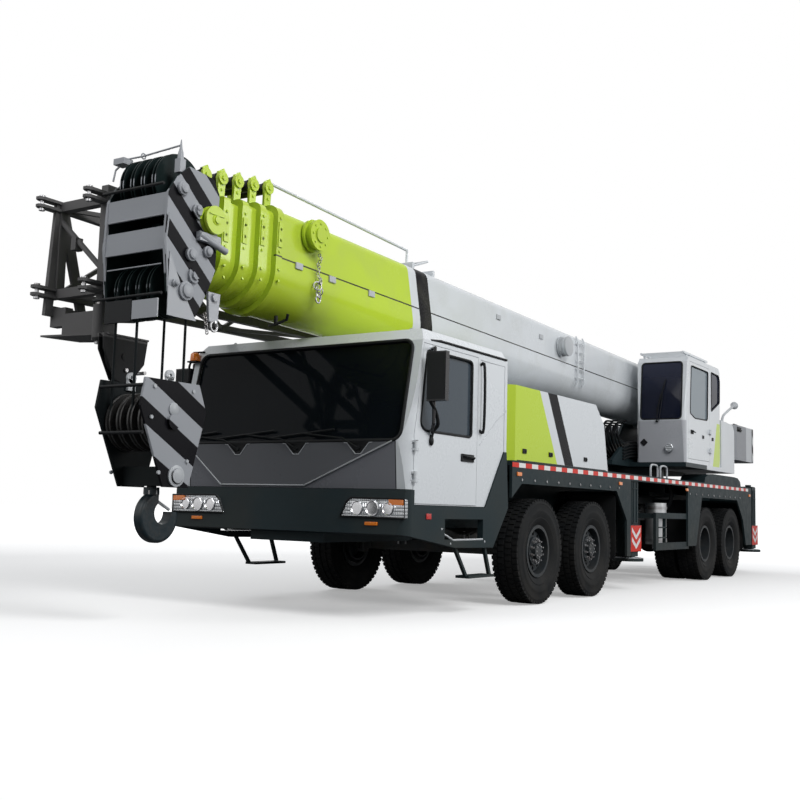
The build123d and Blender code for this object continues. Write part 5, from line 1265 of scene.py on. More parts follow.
class CRANE_OT_deck_edge(bpy.types.Operator):
    """Reflective tape, markers and edge angles along the deck"""
    bl_idname = "crane.deck_edge"
    bl_label = "Deck edge"

    def execute(self, context):
        length = settings().tape_length
        count = int((DECK_REAR - DECK_FRONT) / (2 * length))
        for side, sign in SIDES:
            edge = Model().block((1.3447, 1.3748), (2.582, 4.908), (1.405, 1.4895))
            edge.flipped(sign).piece(f"edge_angle_{side}", "slate_paint", "root")
            for name, shift in (("red", 0.5), ("white", 1.5)):
                pattern("row").lay(f"{name}_tape_{side}", f"{name}_tape", "root", Count=count,
                        Start=(sign * 1.3762, DECK_FRONT + length * shift, 1.447),
                        Step=(0, 2 * length, 0), Size=(0.0022, length, 0.048), Turn=(0, 0, 0))
            marks = Model()
            for y in (-0.62, 2.20, 4.85, 8.30):
                marks.block((1.374, 1.388), (y - 0.05, y + 0.05), (1.335, 1.375))
            marks.flipped(sign).piece(f"side_markers_{side}", "amber_lens", "root", soften=0.004)
            bolts = [pattern("row").lay(f"skirt_bolts_{side}_{number}", "bare_steel", "root", Count=10,
                    Start=(sign * 1.377, start, 1.30), Step=(0, 0.3, 0), Size=(0.010, 0.022, 0.022),
                    Turn=(math.pi / 4, 0, 0)) for number, start in enumerate((-0.55, 5.0))]
            joined(f"skirt_bolts_{side}", bolts)
        return {"FINISHED"}


class CRANE_OT_outriggers(bpy.types.Operator):
    """Warning boards, float rims, ribs and grease points of the outriggers"""
    bl_idname = "crane.outriggers"
    bl_label = "Outriggers"

    def execute(self, context):
        for end, side, y in BOARDS:
            sign = 1 if side == "left" else -1
            beam, jack = f"outrigger_beam_{end}_{side}", f"outrigger_jack_{end}_{side}"
            low, high = 0.505, 0.835
            board = Model().block((1.3652, 1.3690), (y - 0.19, y + 0.19), (low, high))
            board.flipped(sign).piece(f"board_{end}_{side}", "red_tape", beam)
            vees = Model()
            for foot in (low + 0.03, low + 0.15):
                vee = [(y - 0.15, foot + 0.10), (y, foot), (y + 0.15, foot + 0.10),
                        (y + 0.15, foot + 0.155), (y, foot + 0.055), (y - 0.15, foot + 0.155)]
                vees.across(vee, 1.3688, 1.3705)
            vees.flipped(sign).piece(f"board_vees_{end}_{side}", "white_tape", beam)
            top = 1.43 if end == "front" else 1.50
            cap = Model().block((1.165, 1.345), (y - 0.115, y + 0.115), (top, top + 0.018))
            cap.rod((JACK_X, y, top + 0.01), (JACK_X, y, top + 0.05), 0.05)
            for z in (0.86, 1.30):
                cap.block((1.351, 1.362), (y - 0.09, y + 0.09), (z, z + 0.015))
            for edge in (y - 0.065, y + 0.05):
                cap.block((1.351, 1.360), (edge, edge + 0.015), (0.86, top - 0.04))
            cap.flipped(sign).piece(f"jack_head_{end}_{side}", "slate_paint", beam, soften=0.003)
            rim = Model().ring((JACK_X, y, 0.416), (0, 0, 1), 0.185, 0.010, 40)
            rim.turned([(0, 0.10), (0.03, 0.07)], (JACK_X, y, 0.421), (0, 0, 1), 32)
            for step in range(6):
                a = math.pi * step / 3
                rim.rod((JACK_X + 0.08 * math.cos(a), y + 0.08 * math.sin(a), 0.428),
                        (JACK_X + 0.18 * math.cos(a), y + 0.18 * math.sin(a), 0.422), 0.008, sides=8)
            rim.flipped(sign).piece(f"float_{end}_{side}", "edge_paint", jack)
        return {"FINISHED"}


class CRANE_OT_deck_fittings(bpy.types.Operator):
    """Hoops, steps, air tanks, tank bands and pipes along the chassis"""
    bl_idname = "crane.deck_fittings"
    bl_label = "Deck fittings"

    def execute(self, context):
        hoops = Model()
        for y in (3.72, 4.12):
            hoops.pipe([(1.23, y, 1.49), (1.23, y, 1.62), (1.23, y + 0.05, 1.665),
                    (1.23, y + 0.23, 1.665), (1.23, y + 0.28, 1.62), (1.23, y + 0.28, 1.49)], 0.014, 10,
                    smooth=4)
        hoops.mirrored().piece("deck_hoops", "pale_grey", "root")
        bands = Model()
        for y in (4.02, 4.29, 4.56):
            bands.turned([(-0.022, 0.302), (-0.022, 0.308), (0.022, 0.308), (0.022, 0.302)],
                    (-0.96, y, 0.86), (0, 1, 0), 48, hollow=True)
        bands.rod((-0.96, 4.10, 1.15), (-0.96, 4.10, 1.20), 0.055)
        for z in (0.62, 1.08):
            bands.turned([(-0.02, 0.151), (-0.02, 0.157), (0.02, 0.157), (0.02, 0.151)], (1.05, 4.45, z),
                    (0, 0, 1), 40, hollow=True)
        bands.piece("tank_bands", "bare_steel", "root")
        tanks = Model()
        for x, y in ((0.82, 2.42), (0.62, 5.10), (-0.62, 5.10)):
            tanks.turned([(-0.36, 0.03), (-0.35, 0.09), (-0.31, 0.125), (0.31, 0.125), (0.35, 0.09),
                    (0.36, 0.03)], (x, y, 1.02), (0, 1, 0) if y > 5 else (1, 0, 0), 28)
        tanks.piece("air_tanks", "jib_grey", "root")
        pipes = Model()
        for number in range(5):
            x, z = 0.445 + 0.022 * number, 1.24 - 0.02 * (number % 2)
            pipes.pipe([(x, 2.46, z), (x, 3.6, z - 0.01), (x, 4.4, z), (x, 5.25, z + 0.04)], 0.008, 6,
                    smooth=3)
        for number in range(4):
            y = 4.86 + 0.035 * number
            pipes.pipe([(1.10, y, 1.43), (1.12, y + 0.02, 1.25), (1.02, y + 0.05, 1.06), (0.80, y, 1.02),
                    (0.46, y, 1.10)], 0.013, 8, smooth=5)
        pipes.mirrored().piece("chassis_pipes", "rubber", "root")
        steps = Model()
        for z in (0.66, 0.80):
            steps.block((1.285, 1.355), (3.70, 4.02), (z, z + 0.018))
        for y in (3.70, 4.00):
            steps.block((1.30, 1.345), (y, y + 0.02), (0.59, 0.94))
        steps.mirrored().piece("side_steps", "slate_paint", "root", soften=0.003)
        boxes = Model().block((0.46, 0.92), (3.72, 4.18), (0.62, 1.02))
        boxes.block((0.46, 0.86), (4.66, 4.84), (0.66, 1.00))
        boxes.piece("battery_box", "jib_grey", "root", soften=0.015)
        lids = Model().block((0.45, 0.93), (3.71, 4.19), (1.02, 1.045))
        lids.piece("battery_lid", "trim", "root", soften=0.01)
        return {"FINISHED"}


class CRANE_OT_running_gear(bpy.types.Operator):
    """Prop shafts, brake chambers, steering rods and mud flaps below the frame"""
    bl_idname = "crane.running_gear"
    bl_label = "Running gear"

    def execute(self, context):
        shafts = Model().rod((0, 1.62, 0.74), (0, 5.42, 0.60), 0.055)
        shafts.rod((0, 6.16, 0.57), (0, 6.96, 0.57), 0.05)
        for y, z in ((1.66, 0.74), (5.38, 0.60), (5.55, 0.58), (6.20, 0.57), (6.92, 0.57)):
            shafts.ball((0, y, z), 0.075, (1, 0.8, 1))
        shafts.block((-0.20, 0.20), (1.10, 1.62), (0.62, 0.779))
        shafts.piece("prop_shafts", "cast_iron", "root")
        brakes = Model()
        for y in AXLES[2:]:
            brakes.turned([(-0.07, 0.05), (-0.06, 0.085), (-0.005, 0.085), (0, 0.095), (0.005, 0.085),
                    (0.07, 0.08), (0.08, 0.04)], (0.50, y - 0.16, 0.70), (0, 1, 0), 24)
            brakes.rod((0.50, y - 0.16, 0.66), (0.50, y - 0.02, 0.60), 0.02)
        brakes.mirrored().piece("brake_chambers", "cast_iron", "root")
        rods = Model()
        for y in AXLES[:2]:
            rods.rod((-0.80, y + 0.17, 0.52), (0.80, y + 0.17, 0.52), 0.022)
            for x in (-0.78, 0.78):
                rods.ball((x, y + 0.17, 0.52), 0.038).rod((x, y + 0.17, 0.52), (x, y + 0.03, 0.53), 0.018)
        rods.rod((0.36, -0.62, 0.70), (0.36, 0.10, 0.66), 0.022)
        rods.rod((0.36, 0.25, 0.66), (0.36, 1.35, 0.66), 0.022)
        rods.piece("steering_rods", "cast_iron", "root")
        springs = Model()
        for y in AXLES:
            seat_z = 0.62 if y < AXLES[2] else 0.648
            for leaf in range(6):
                reach, drop = 0.56 - leaf * 0.07, leaf * 0.011
                z = seat_z + 0.066 - drop
                springs.pipe([(0.385, y - reach, z + 0.10 * (reach / 0.6) ** 1.3), (0.385, y - 0.09, z),
                        (0.385, y + 0.09, z), (0.385, y + reach, z + 0.10 * (reach / 0.6) ** 1.3)],
                        0.0075, 4, smooth=2)
            for dy in (-0.055, 0.055):
                springs.pipe([(0.335, y + dy, seat_z - 0.05), (0.335, y + dy, seat_z + 0.085),
                        (0.435, y + dy, seat_z + 0.085), (0.435, y + dy, seat_z - 0.05)], 0.011, 8)
        springs.mirrored().piece("spring_clamps", "bare_steel", "root")
        flaps = Model()
        for y, low in ((2.16, 0.42), (8.02, 0.42), (5.26, 0.50)):
            flaps.pipe([(0.72, y, 1.20), (1.33, y, 1.20)], 0.012, 6)
            flaps.along([(0.72, 1.20), (1.33, 1.20), (1.33, low), (0.72, low)], y - 0.005, y + 0.005)
        flaps.mirrored().piece("mud_flaps", "rubber", "root")
        return {"FINISHED"}


class CRANE_OT_rear_end(bpy.types.Operator):
    """Tow jaw and under-run bar"""
    bl_idname = "crane.rear_end"
    bl_label = "Rear end"

    def execute(self, context):
        jaw = Model().block((-0.12, 0.12), (9.02, 9.17), (0.56, 0.621))
        for z in (0.535, 0.455):
            jaw.block((-0.09, 0.09), (9.06, 9.21), (z, z + 0.025))
        jaw.block((-0.09, 0.09), (9.06, 9.10), (0.48, 0.535))
        jaw.rod((0, 9.17, 0.44), (0, 9.17, 0.60), 0.022)
        jaw.piece("tow_jaw", "forged", "root", soften=0.004)
        bar = Model().rod((-0.80, 9.14, 0.53), (0.80, 9.14, 0.53), 0.034)
        for x in (-0.62, 0.62):
            bar.block((x - 0.03, x + 0.03), (9.10, 9.18), (0.53, 0.63))
        bar.piece("under_run_bar", "slate_paint", "root")
        return {"FINISHED"}


class CRANE_OT_engine_hood(bpy.types.Operator):
    """Lid seams, latches, louvres, exhaust stack and handles of the engine housing"""
    bl_idname = "crane.engine_hood"
    bl_label = "Engine hood"

    def execute(self, context):
        seams = Model()
        seams.pipe([(1.1505, -0.22, 1.52), (1.1505, 2.28, 1.52)], 0.005, 6)
        seams.mirrored().piece("hood_seams", "black_paint", "root")
        latches = Model()
        for y in (-0.05, 0.62, 1.62):
            latches.block((1.148, 1.162), (y - 0.045, y + 0.045), (1.60, 1.65))
            latches.rod((1.158, y + 0.02, 1.625), (1.170, y + 0.02, 1.625), 0.014, sides=12)
        latches.mirrored().piece("hood_latches", "trim", "root", soften=0.004)
        slats = []
        width = 0.82
        for number, x in enumerate((-0.55, 0.55)):
            slats.append(pattern("row").lay(f"roof_slats_{number}", "trim", "root", Count=16,
                    Start=(x, 0.30, 2.331), Step=(0, 0.055, 0), Size=(width, 0.038, 0.006),
                    Turn=(0.35, 0, 0)))
            slats.append(pattern("row").lay(f"rear_slats_{number}", "trim", "root", Count=9,
                    Start=(x, 2.248, 2.02), Step=(0, 0.0117, -0.05), Size=(width, 0.008, 0.036),
                    Turn=(0.5, 0, 0)))
        joined("hood_louvres", slats)
        stack = Model().pipe([(-0.86, 2.02, 2.20), (-0.86, 2.02, 2.40), (-0.86, 2.06, 2.46),
                (-0.86, 2.14, 2.48)], 0.055, 20, smooth=5)
        stack.turned([(0, 0.06), (0, 0.085), (0.16, 0.085), (0.16, 0.06)], (-0.86, 2.02, 2.22), (0, 0, 1),
                28)
        stack.piece("exhaust_stack", "greased_steel", "root")
        rails = Model()
        for x in (-0.62, 0.62):
            rails.pipe([(x, -0.36, 2.31), (x, -0.36, 2.36), (x, -0.10, 2.36), (x, -0.10, 2.31)], 0.009, 8)
        rails.piece("hood_handles", "edge_paint", "root")
        return {"FINISHED"}


# ---------------------------------------------------------------- superstructure
OPERATOR_FRONT_FOOT, OPERATOR_FRONT_HEAD = (5.05, 2.44), (5.12, 3.30)


def on_operator_front(x, z, out=0.0):
    """Point on the upper cab's front at the given height."""
    (y0, z0), (y1, z1) = OPERATOR_FRONT_FOOT, OPERATOR_FRONT_HEAD
    share = (z - z0) / (z1 - z0) if z > z0 else 0.0
    slack = 0.015 * (z0 - z) / 0.67 if z < z0 else 0.0
    return (x, y0 + (y1 - y0) * share + slack - out, z)


class CRANE_OT_operator_cab(bpy.types.Operator):
    """Seals, door trim and handle, wiper, work lamp, sign and side marks of the upper cab"""
    bl_idname = "crane.operator_cab"
    bl_label = "Operator cab"

    def execute(self, context):
        corners = rounded_corners([(0.60, 2.42), (1.23, 2.42), (1.23, 3.29), (0.60, 3.29)], 0.06)
        seal = Model().outlined([on_operator_front(x, z, -0.004) for x, z in corners], 0.012)
        quarter = [(6.34, 2.64), (6.34, 3.27), (6.74, 3.26), (6.80, 3.18), (6.79, 2.82)]
        seal.outlined([(1.3005, y, z) for y, z in rounded_corners(quarter, 0.04)], 0.010)
        seal.piece("operator_seals", "trim", "superstructure")
        window = [(5.25, 2.52), (5.31, 3.25), (6.17, 3.25), (6.13, 2.48), (5.50, 2.46)]
        door = Model().outlined([(1.3005, y, z) for y, z in rounded_corners(window, 0.05)], 0.010)
        door.block((1.298, 1.312), (5.28, 5.40), (2.21, 2.27)).pipe(
            [(1.30, 5.29, 2.25), (1.335, 5.31, 2.245), (1.335, 5.40, 2.235)], 0.010, 8)
        door.piece("operator_door_trim", "trim", "operator_door", soften=0.003)
        wiper = Model().rod(on_operator_front(0.86, 2.385, -0.01), on_operator_front(0.86, 2.385, 0.03),
                0.018, sides=12)
        for x in (0.86, 0.895):
            wiper.pipe([on_operator_front(x, 2.39, 0.025), on_operator_front(x + 0.05, 2.80, 0.022)],
                    0.006, 6)
        wiper.pipe([on_operator_front(0.86, 2.56, 0.012), on_operator_front(0.985, 3.02, 0.012)], 0.010,
                6)
        wiper.piece("operator_wiper", "trim", "superstructure")
        lamp = Model().turned([(0, 0.03), (0.02, 0.055), (0.05, 0.062), (0.055, 0.055)],
                (1.06, 5.052, 1.98), (0, -1, 0), 24)
        lamp.rod((1.06, 5.07, 1.98), (1.06, 5.03, 1.98), 0.02)
        lamp.piece("work_lamp", "polished_lamp", "superstructure")
        sign = Model().along([(0.655, 2.01), (0.715, 2.07), (0.655, 2.13), (0.595, 2.07)], 5.046, 5.060)
        sign.piece("bare_diamond", "black_paint", "superstructure", soften=0.003)
        marks = Model()
        for y in (5.90, 6.40):
            marks.block((1.2995, 1.3075), (y - 0.04, y + 0.04), (2.175, 2.225))
        marks.piece("side_marks", "trim", "superstructure")
        return {"FINISHED"}


class CRANE_OT_turntable(bpy.types.Operator):
    """Slew ring bolts, hose bundle, tank caps and lifting lugs of the turntable"""
    bl_idname = "crane.turntable"
    bl_label = "Turntable"

    def execute(self, context):
        pattern("ring").lay("slew_bolts", "bare_steel", "root", Count=48, Centre=(0, 5.95, 1.561),
                Ring_radius=0.628, Rod_radius=0.011, Length=0.02, Sides=6, Facing=(0, 0, 0))
        hoses = Model()
        for number in range(9):
            x = 0.06 + 0.035 * number
            lift = 0.035 * (number % 3)
            hoses.pipe([(x, 5.30, 1.80), (x + 0.01, 4.95, 1.90 + lift), (x + 0.02, 4.72, 2.10 + lift),
                    (x, 4.80, 2.30 + lift), (x, 5.10, 2.34 + lift)], 0.016, 8, smooth=6)
        for number in range(6):
            z = 1.80 + 0.045 * number
            hoses.pipe([(0.437, 4.75, z), (0.462, 5.1, z + 0.06), (0.472, 5.6, z + 0.02),
                    (0.45, 6.2, z - 0.01)], 0.015, 8, smooth=5)
        hoses.piece("hydraulic_hoses", "rubber", "superstructure")
        valves = Model().block((0.03, 0.40), (5.10, 5.42), (1.772, 2.06))
        valves.block((-0.36, -0.06), (5.20, 5.45), (1.772, 1.98))
        for x in (0.10, 0.18, 0.26, 0.34):
            valves.rod((x, 5.10, 1.95), (x, 5.04, 1.95), 0.022, sides=12)
        valves.piece("valve_block", "cast_iron", "superstructure", soften=0.008)
        caps = Model()
        for x, y, z in ((0.75, 7.2, 2.531), (-0.8, 6.6, 2.35), (-0.8, 7.2, 2.35)):
            caps.turned([(0, 0.055), (0.03, 0.055), (0.045, 0.04), (0.05, 0.02)], (x, y, z), (0, 0, 1),
                    24)
        caps.piece("filler_caps", "trim", "superstructure")
        weight = Model()
        for x in (-1.05, 1.05):
            weight.pipe([(x, 8.55, 2.545), (x, 8.55, 2.62), (x, 8.75, 2.62), (x, 8.75, 2.545)], 0.018, 10)
        weight.block((1.296, 1.304), (7.84, 8.10), (2.44, 2.52))
        weight.block((1.30, 1.330), (7.90, 8.04), (2.455, 2.475))
        weight.pipe([(1.3005, 8.80, 1.98), (1.3005, 8.80, 2.53)], 0.004, 6)
        weight.piece("counterweight_fittings", "trim", "superstructure")
        rails = Model()
        rails.pipe([(-1.24, 6.2, 2.35), (-1.24, 6.2, 2.75), (-1.24, 6.25, 2.80), (-1.24, 7.45, 2.80),
                (-1.24, 7.5, 2.75), (-1.24, 7.5, 2.35)], 0.014, 8)
        rails.pipe([(-1.24, 6.2, 2.58), (-1.24, 7.5, 2.58)], 0.011, 8)
        rails.piece("platform_rail", "edge_paint", "superstructure")
        horn = Model().pipe([(1.0, 8.0, 2.55), (1.0, 8.06, 2.72), (1.0, 8.4, 2.86), (1.0, 8.78, 2.98)],
                0.022, 10, smooth=5)
        horn.turned([(0, 0.03), (0.04, 0.04), (0.09, 0.07), (0.10, 0.068)], (1.0, 8.70, 2.95),
                (0, 0.9, 0.35), 20)
        horn.piece("rear_bracket", "edge_paint", "superstructure")
        return {"FINISHED"}


DRUM = (8.52, 2.76)


class CRANE_OT_winch(bpy.types.Operator):
    """Rope wound on the hoist drum and the gearbox ends"""
    bl_idname = "crane.winch"
    bl_label = "Winch"

    def execute(self, context):
        rope = pattern("winding").lay("drum_rope", "greased_steel", "winch", Turns=settings().rope_turns,
                Centre=(-0.33, *DRUM), Radius=0.182, Width=0.66, Rope_radius=0.0115)
        bolts = [pattern("ring").lay(f"drum_bolts_{number}", "bare_steel", "winch", Count=12,
                Centre=(x, *DRUM), Ring_radius=0.215, Rod_radius=0.010, Length=0.012, Sides=6,
                Facing=SIDEWAYS) for number, x in enumerate((-0.381, 0.381))]
        joined("drum_bolts", bolts)
        gear = Model()
        for x in (0.425, -0.425):
            sign = math.copysign(1, x)
            gear.turned([(0, 0.13), (0.05, 0.13), (0.07, 0.11), (0.16, 0.10), (0.18, 0.07)], (x, *DRUM),
                    (sign, 0, 0), 28)
        gear.piece("winch_gearbox", "cast_iron", "superstructure")
        return {"FINISHED"}


# ---------------------------------------------------------------- boom
PIN = (7.450, 2.620)
SEAM_IN_BOOM = 0.2899
BASE_FRONT, SECTION_REACH, SECTION_STEP = -10.850, 0.197, 0.030
BOOM_BODIES = ("boom_base", "boom_section_2", "boom_section_3", "boom_section_4", "boom_section_5")


def on_boom(x, y, z):
    """A point given along the boom, from its foot pin, at its stowed place."""
    turn, rise = math.cos(BOOM_TILT), math.sin(BOOM_TILT)
    return (x, PIN[0] + y * turn + z * rise, PIN[1] - y * rise + z * turn)


class CRANE_OT_boom(bpy.types.Operator):
    """Rollers, collar bolts, chain, brackets and pipes of the boom sections"""
    bl_idname = "crane.boom"
    bl_label = "Boom"

    def execute(self, context):
        for number, body in enumerate(BOOM_BODIES):
            front = BASE_FRONT - SECTION_REACH * number
            top = SEAM_IN_BOOM + 0.437 - SECTION_STEP * number
            half = 0.360 - SECTION_STEP * number
            collar, axle, side = front + 0.045, top + 0.200, half + 0.024
            roller = Model().turned([(-0.18, 0.040), (-0.18, 0.056), (-0.15, 0.050), (0.15, 0.050),
                    (0.18, 0.056), (0.18, 0.040)], on_boom(0, collar, axle), (1, 0, 0), 24)
            roller.piece(f"rope_roller_{number + 1}", "trim", body)
            ear = Model()
            for sign in (-1, 1):
                ear.bolt_on_boom((0.21, 0.232), collar, axle, 0.055, sign, sides=24)
                ear.bolt_on_boom((0.23, 0.243), collar, axle, 0.022, sign)
                for rise in (0.03, 0.10):
                    ear.bolt_on_boom((0.213, 0.225), collar, top + rise, 0.014, sign)
                for drop in (0.06, 0.16, 0.26, 0.36, 0.52, 0.62):
                    ear.bolt_on_boom((side - 0.004, side + 0.010), front + 0.04, top - 0.04 - drop, 0.013,
                            sign)
                ear.block_on_boom((half + 0.020, half + 0.034), (front + 0.012, front + 0.068),
                        (top - 0.36, top - 0.14), sign)
            ear.piece(f"collar_fittings_{number + 1}", "lime_paint", body)
        self.base_fittings()
        return {"FINISHED"}

    def base_fittings(self):
        chain = Model()
        for link in range(14):
            z = 3.26 - link * 0.028
            x = 0.40 + 0.012 * math.sin(link * 1.7)
            axis = (1, 0, 0) if link % 2 else (0, 1, 0)
            chain.ring((x, -2.80 + 0.012 * math.sin(link), z), axis, 0.015, 0.0045, 12)
        chain.ring((0.40, -2.80, 2.85), (1, 0, 0), 0.032, 0.008, 16)
        for y, z, radius, axis in ((-2.775, 3.02, 0.034, (1, 0.4, 0)),
                (-2.82, 2.97, 0.040, (1, -0.5, 0.2)), (-2.76, 2.93, 0.030, (0.6, 1, 0)),
                (-2.80, 2.89, 0.036, (1, 0.1, 0.5))):
            chain.ring((0.405, y, z), axis, radius, 0.006, 18)
        chain.piece("reel_chain", "bare_steel", "boom_base")
        bolts = pattern("ring").lay("reel_bolts", "lime_paint", "boom_base", Count=8,
                Centre=(0.478, -2.89, 3.42), Ring_radius=0.105, Rod_radius=0.010, Length=0.012, Sides=6,
                Facing=SIDEWAYS)
        grey = Model().turned([(0, 0.06), (0.0, 0.132), (0.03, 0.136), (0.035, 0.118), (0.085, 0.118),
                (0.09, 0.136), (0.115, 0.132), (0.125, 0.05)], (0.385, 2.60, 3.20), (1, 0, 0), 40)
        grey.piece("grey_reel", "pale_grey", "boom_base")
        ladder = Model()
        for y in (3.12, 3.34):
            ladder.pipe([(0.366, y, 2.72), (0.40, y, 2.78), (0.40, y, 3.34), (0.366, y, 3.42)], 0.012, 8)
        for step in range(5):
            z = 2.84 + 0.12 * step
            ladder.rod((0.40, 3.12, z), (0.40, 3.34, z), 0.009, sides=8)
        ladder.piece("boom_ladder", "white_paint", "boom_base")
        arm = Model().rod((0.18, -3.12, 2.66), (0.18, -3.12, 2.585), 0.018)
        arm.pipe([(0.02, -3.02, 2.60), (0.18, -3.12, 2.585), (0.42, -3.26, 2.585), (0.44, -3.27, 2.63)],
                0.013, 8)
        arm.piece("lashing_arm", "trim", "boom_base")
        fittings = Model()
        for y, z in ((-3.05, -0.02), (-2.55, -0.03), (-1.9, -0.03), (0.8, 0.25), (2.0, 0.22)):
            fittings.block((0.358, 0.376), (y - 0.05, y + 0.05),
                    (boom_z(y, z) - 0.03, boom_z(y, z) + 0.03))
        for y in (-2.2, -0.5, 1.2, 2.9, 4.6, 6.3):
            fittings.block((-0.05, 0.05), (y - 0.06, y + 0.06), (boom_z(y, 0.434), boom_z(y, 0.452)))
        fittings.piece("boom_lugs", "pale_grey", "boom_base", soften=0.004)
        cylinder = Model().rod(on_boom(0, 0.10, 0.22), on_boom(0, -3.0, 0.22), 0.085, sides=32)
        cylinder.rod(on_boom(0, 0.16, 0.22), on_boom(0, 0.10, 0.22), 0.11, sides=32)
        for x in (-0.13, 0.13):
            cylinder.pipe([on_boom(x, 0.20, 0.30), on_boom(x, 0.05, 0.36), on_boom(x * 0.6, -1.2, 0.36)],
                    0.016, 8, smooth=3)
        cylinder.piece("telescope_cylinder", "slate_paint", "boom_base")
        mount = Model()
        for y in (-1.04, -0.62):
            mount.block((0.10, 0.30), (y - 0.02, y + 0.02), (boom_z(y, 0.43), boom_z(y, 0.50)))
        mount.pipe([(0.24, -1.0, boom_z(-1, 0.47)), (0.24, -0.66, boom_z(-0.7, 0.60)),
                (0.05, -0.64, boom_z(-0.7, 0.60))], 0.013, 8)
        mount.piece("tube_mount", "white_paint", "boom_base")


class CRANE_OT_boom_head(bpy.types.Operator):
    """Guards, pins, shackles and mast tip of the boom head"""
    bl_idname = "crane.boom_head"
    bl_label = "Boom head"

    def execute(self, context):
        body = "boom_section_5"
        guard = Model().rod((-0.34, -4.70, 3.42), (0.34, -4.70, 3.42), 0.012)
        guard.rod((-0.40, -4.69, 2.56), (0.36, -4.69, 2.56), 0.012)
        guard.block((-0.25, 0.05), (-4.700, -4.676), (2.36, 2.535))
        guard.piece("sheave_guard", "trim", body)
        mast = Model().turned([(0, 0.028), (0.06, 0.022), (0.10, 0.012), (0.17, 0.004)],
                (0.30, -4.50, 3.66), (0, 0, 1), 16)
        mast.pipe([(0.30, -4.50, 3.785), (-0.12, -4.50, 3.765), (-0.28, -4.53, 3.755),
                (-0.35, -4.58, 3.66), (-0.35, -4.60, 3.56)], 0.008, 8)
        mast.ring((-0.12, -4.50, 3.765), (1, 0, 0), 0.022, 0.006, 14)
        mast.block((-0.36, -0.24), (-4.60, -4.50), (3.70, 3.75))
        mast.block((0.06, 0.335), (-4.703, -4.690), (2.375, 2.52))
        mast.block((0.27, 0.33), (-4.53, -4.47), (3.56, 3.67))
        mast.piece("mast_tip", "warning_grey", body)
        lugs = Model()
        for y, z, r in ((-4.52, 3.42, 0.055), (-4.36, 3.30, 0.035), (-4.44, 2.62, 0.075),
                (-4.40, 2.92, 0.055), (-4.56, 2.66, 0.03), (-4.22, 2.98, 0.045)):
            lugs.turned([(0, r * 0.9), (0.02, r), (0.03, r), (0.034, r * 0.75), (0.05, r * 0.7),
                    (0.055, r * 0.4)], (0.349, y, z), (1, 0, 0), 28)
        lugs.block((0.350, 0.395), (-4.34, -4.10), (3.05, 3.12))
        lugs.rod((0.38, -4.34, 3.10), (0.38, -4.02, 3.02), 0.028)
        lugs.across([(-4.20, 2.66), (-4.06, 2.66), (-4.08, 2.42), (-4.18, 2.42)], 0.352, 0.378)
        lugs.rod((0.35, -4.13, 2.62), (0.40, -4.13, 2.62), 0.035)
        lugs.across([(-4.62, 2.90), (-4.46, 2.62), (-4.30, 2.40), (-4.62, 2.40)], 0.351, 0.357)
        lugs.piece("head_lugs", "warning_grey", body, soften=0.002)
        boss = Model().turned([(0, 0.045), (0.006, 0.045), (0.010, 0.030), (0.020, 0.028)],
                (0.424, -4.195, 3.24), (1, 0, 0), 28)
        boss.across([(-4.28, 3.275), (-4.11, 3.275), (-4.11, 3.283), (-4.28, 3.283)], 0.424, 0.436)
        boss.piece("head_lug_boss", "lime_paint", body)
        chain = Model()
        for link in range(7):
            axis = (1, 0, 0) if link % 2 else (0, 1, 0)
            chain.ring((0.385, -4.24 + link * 0.006, 2.47 - link * 0.024), axis, 0.014, 0.0045, 12)
        chain.ring((0.385, -4.13, 2.385), (1, 0, 0), 0.038, 0.010, 20)
        chain.rod((0.365, -4.13, 2.42), (0.405, -4.13, 2.42), 0.012)
        chain.piece("head_shackle", "bare_steel", body)
        stiffeners = Model()
        for x in (-0.352, 0.350):
            stiffeners.pipe([(x, -4.64, 3.20), (x, -4.66, 3.0), (x, -4.62, 2.62)], 0.008, 6)
        for z in (3.19, 3.02, 2.98, 2.80):
            stiffeners.rod((-0.30, -4.652, z), (0.30, -4.652, z), 0.006, sides=6)
        stiffeners.piece("head_stiffeners", "warning_grey", body)
        return {"FINISHED"}


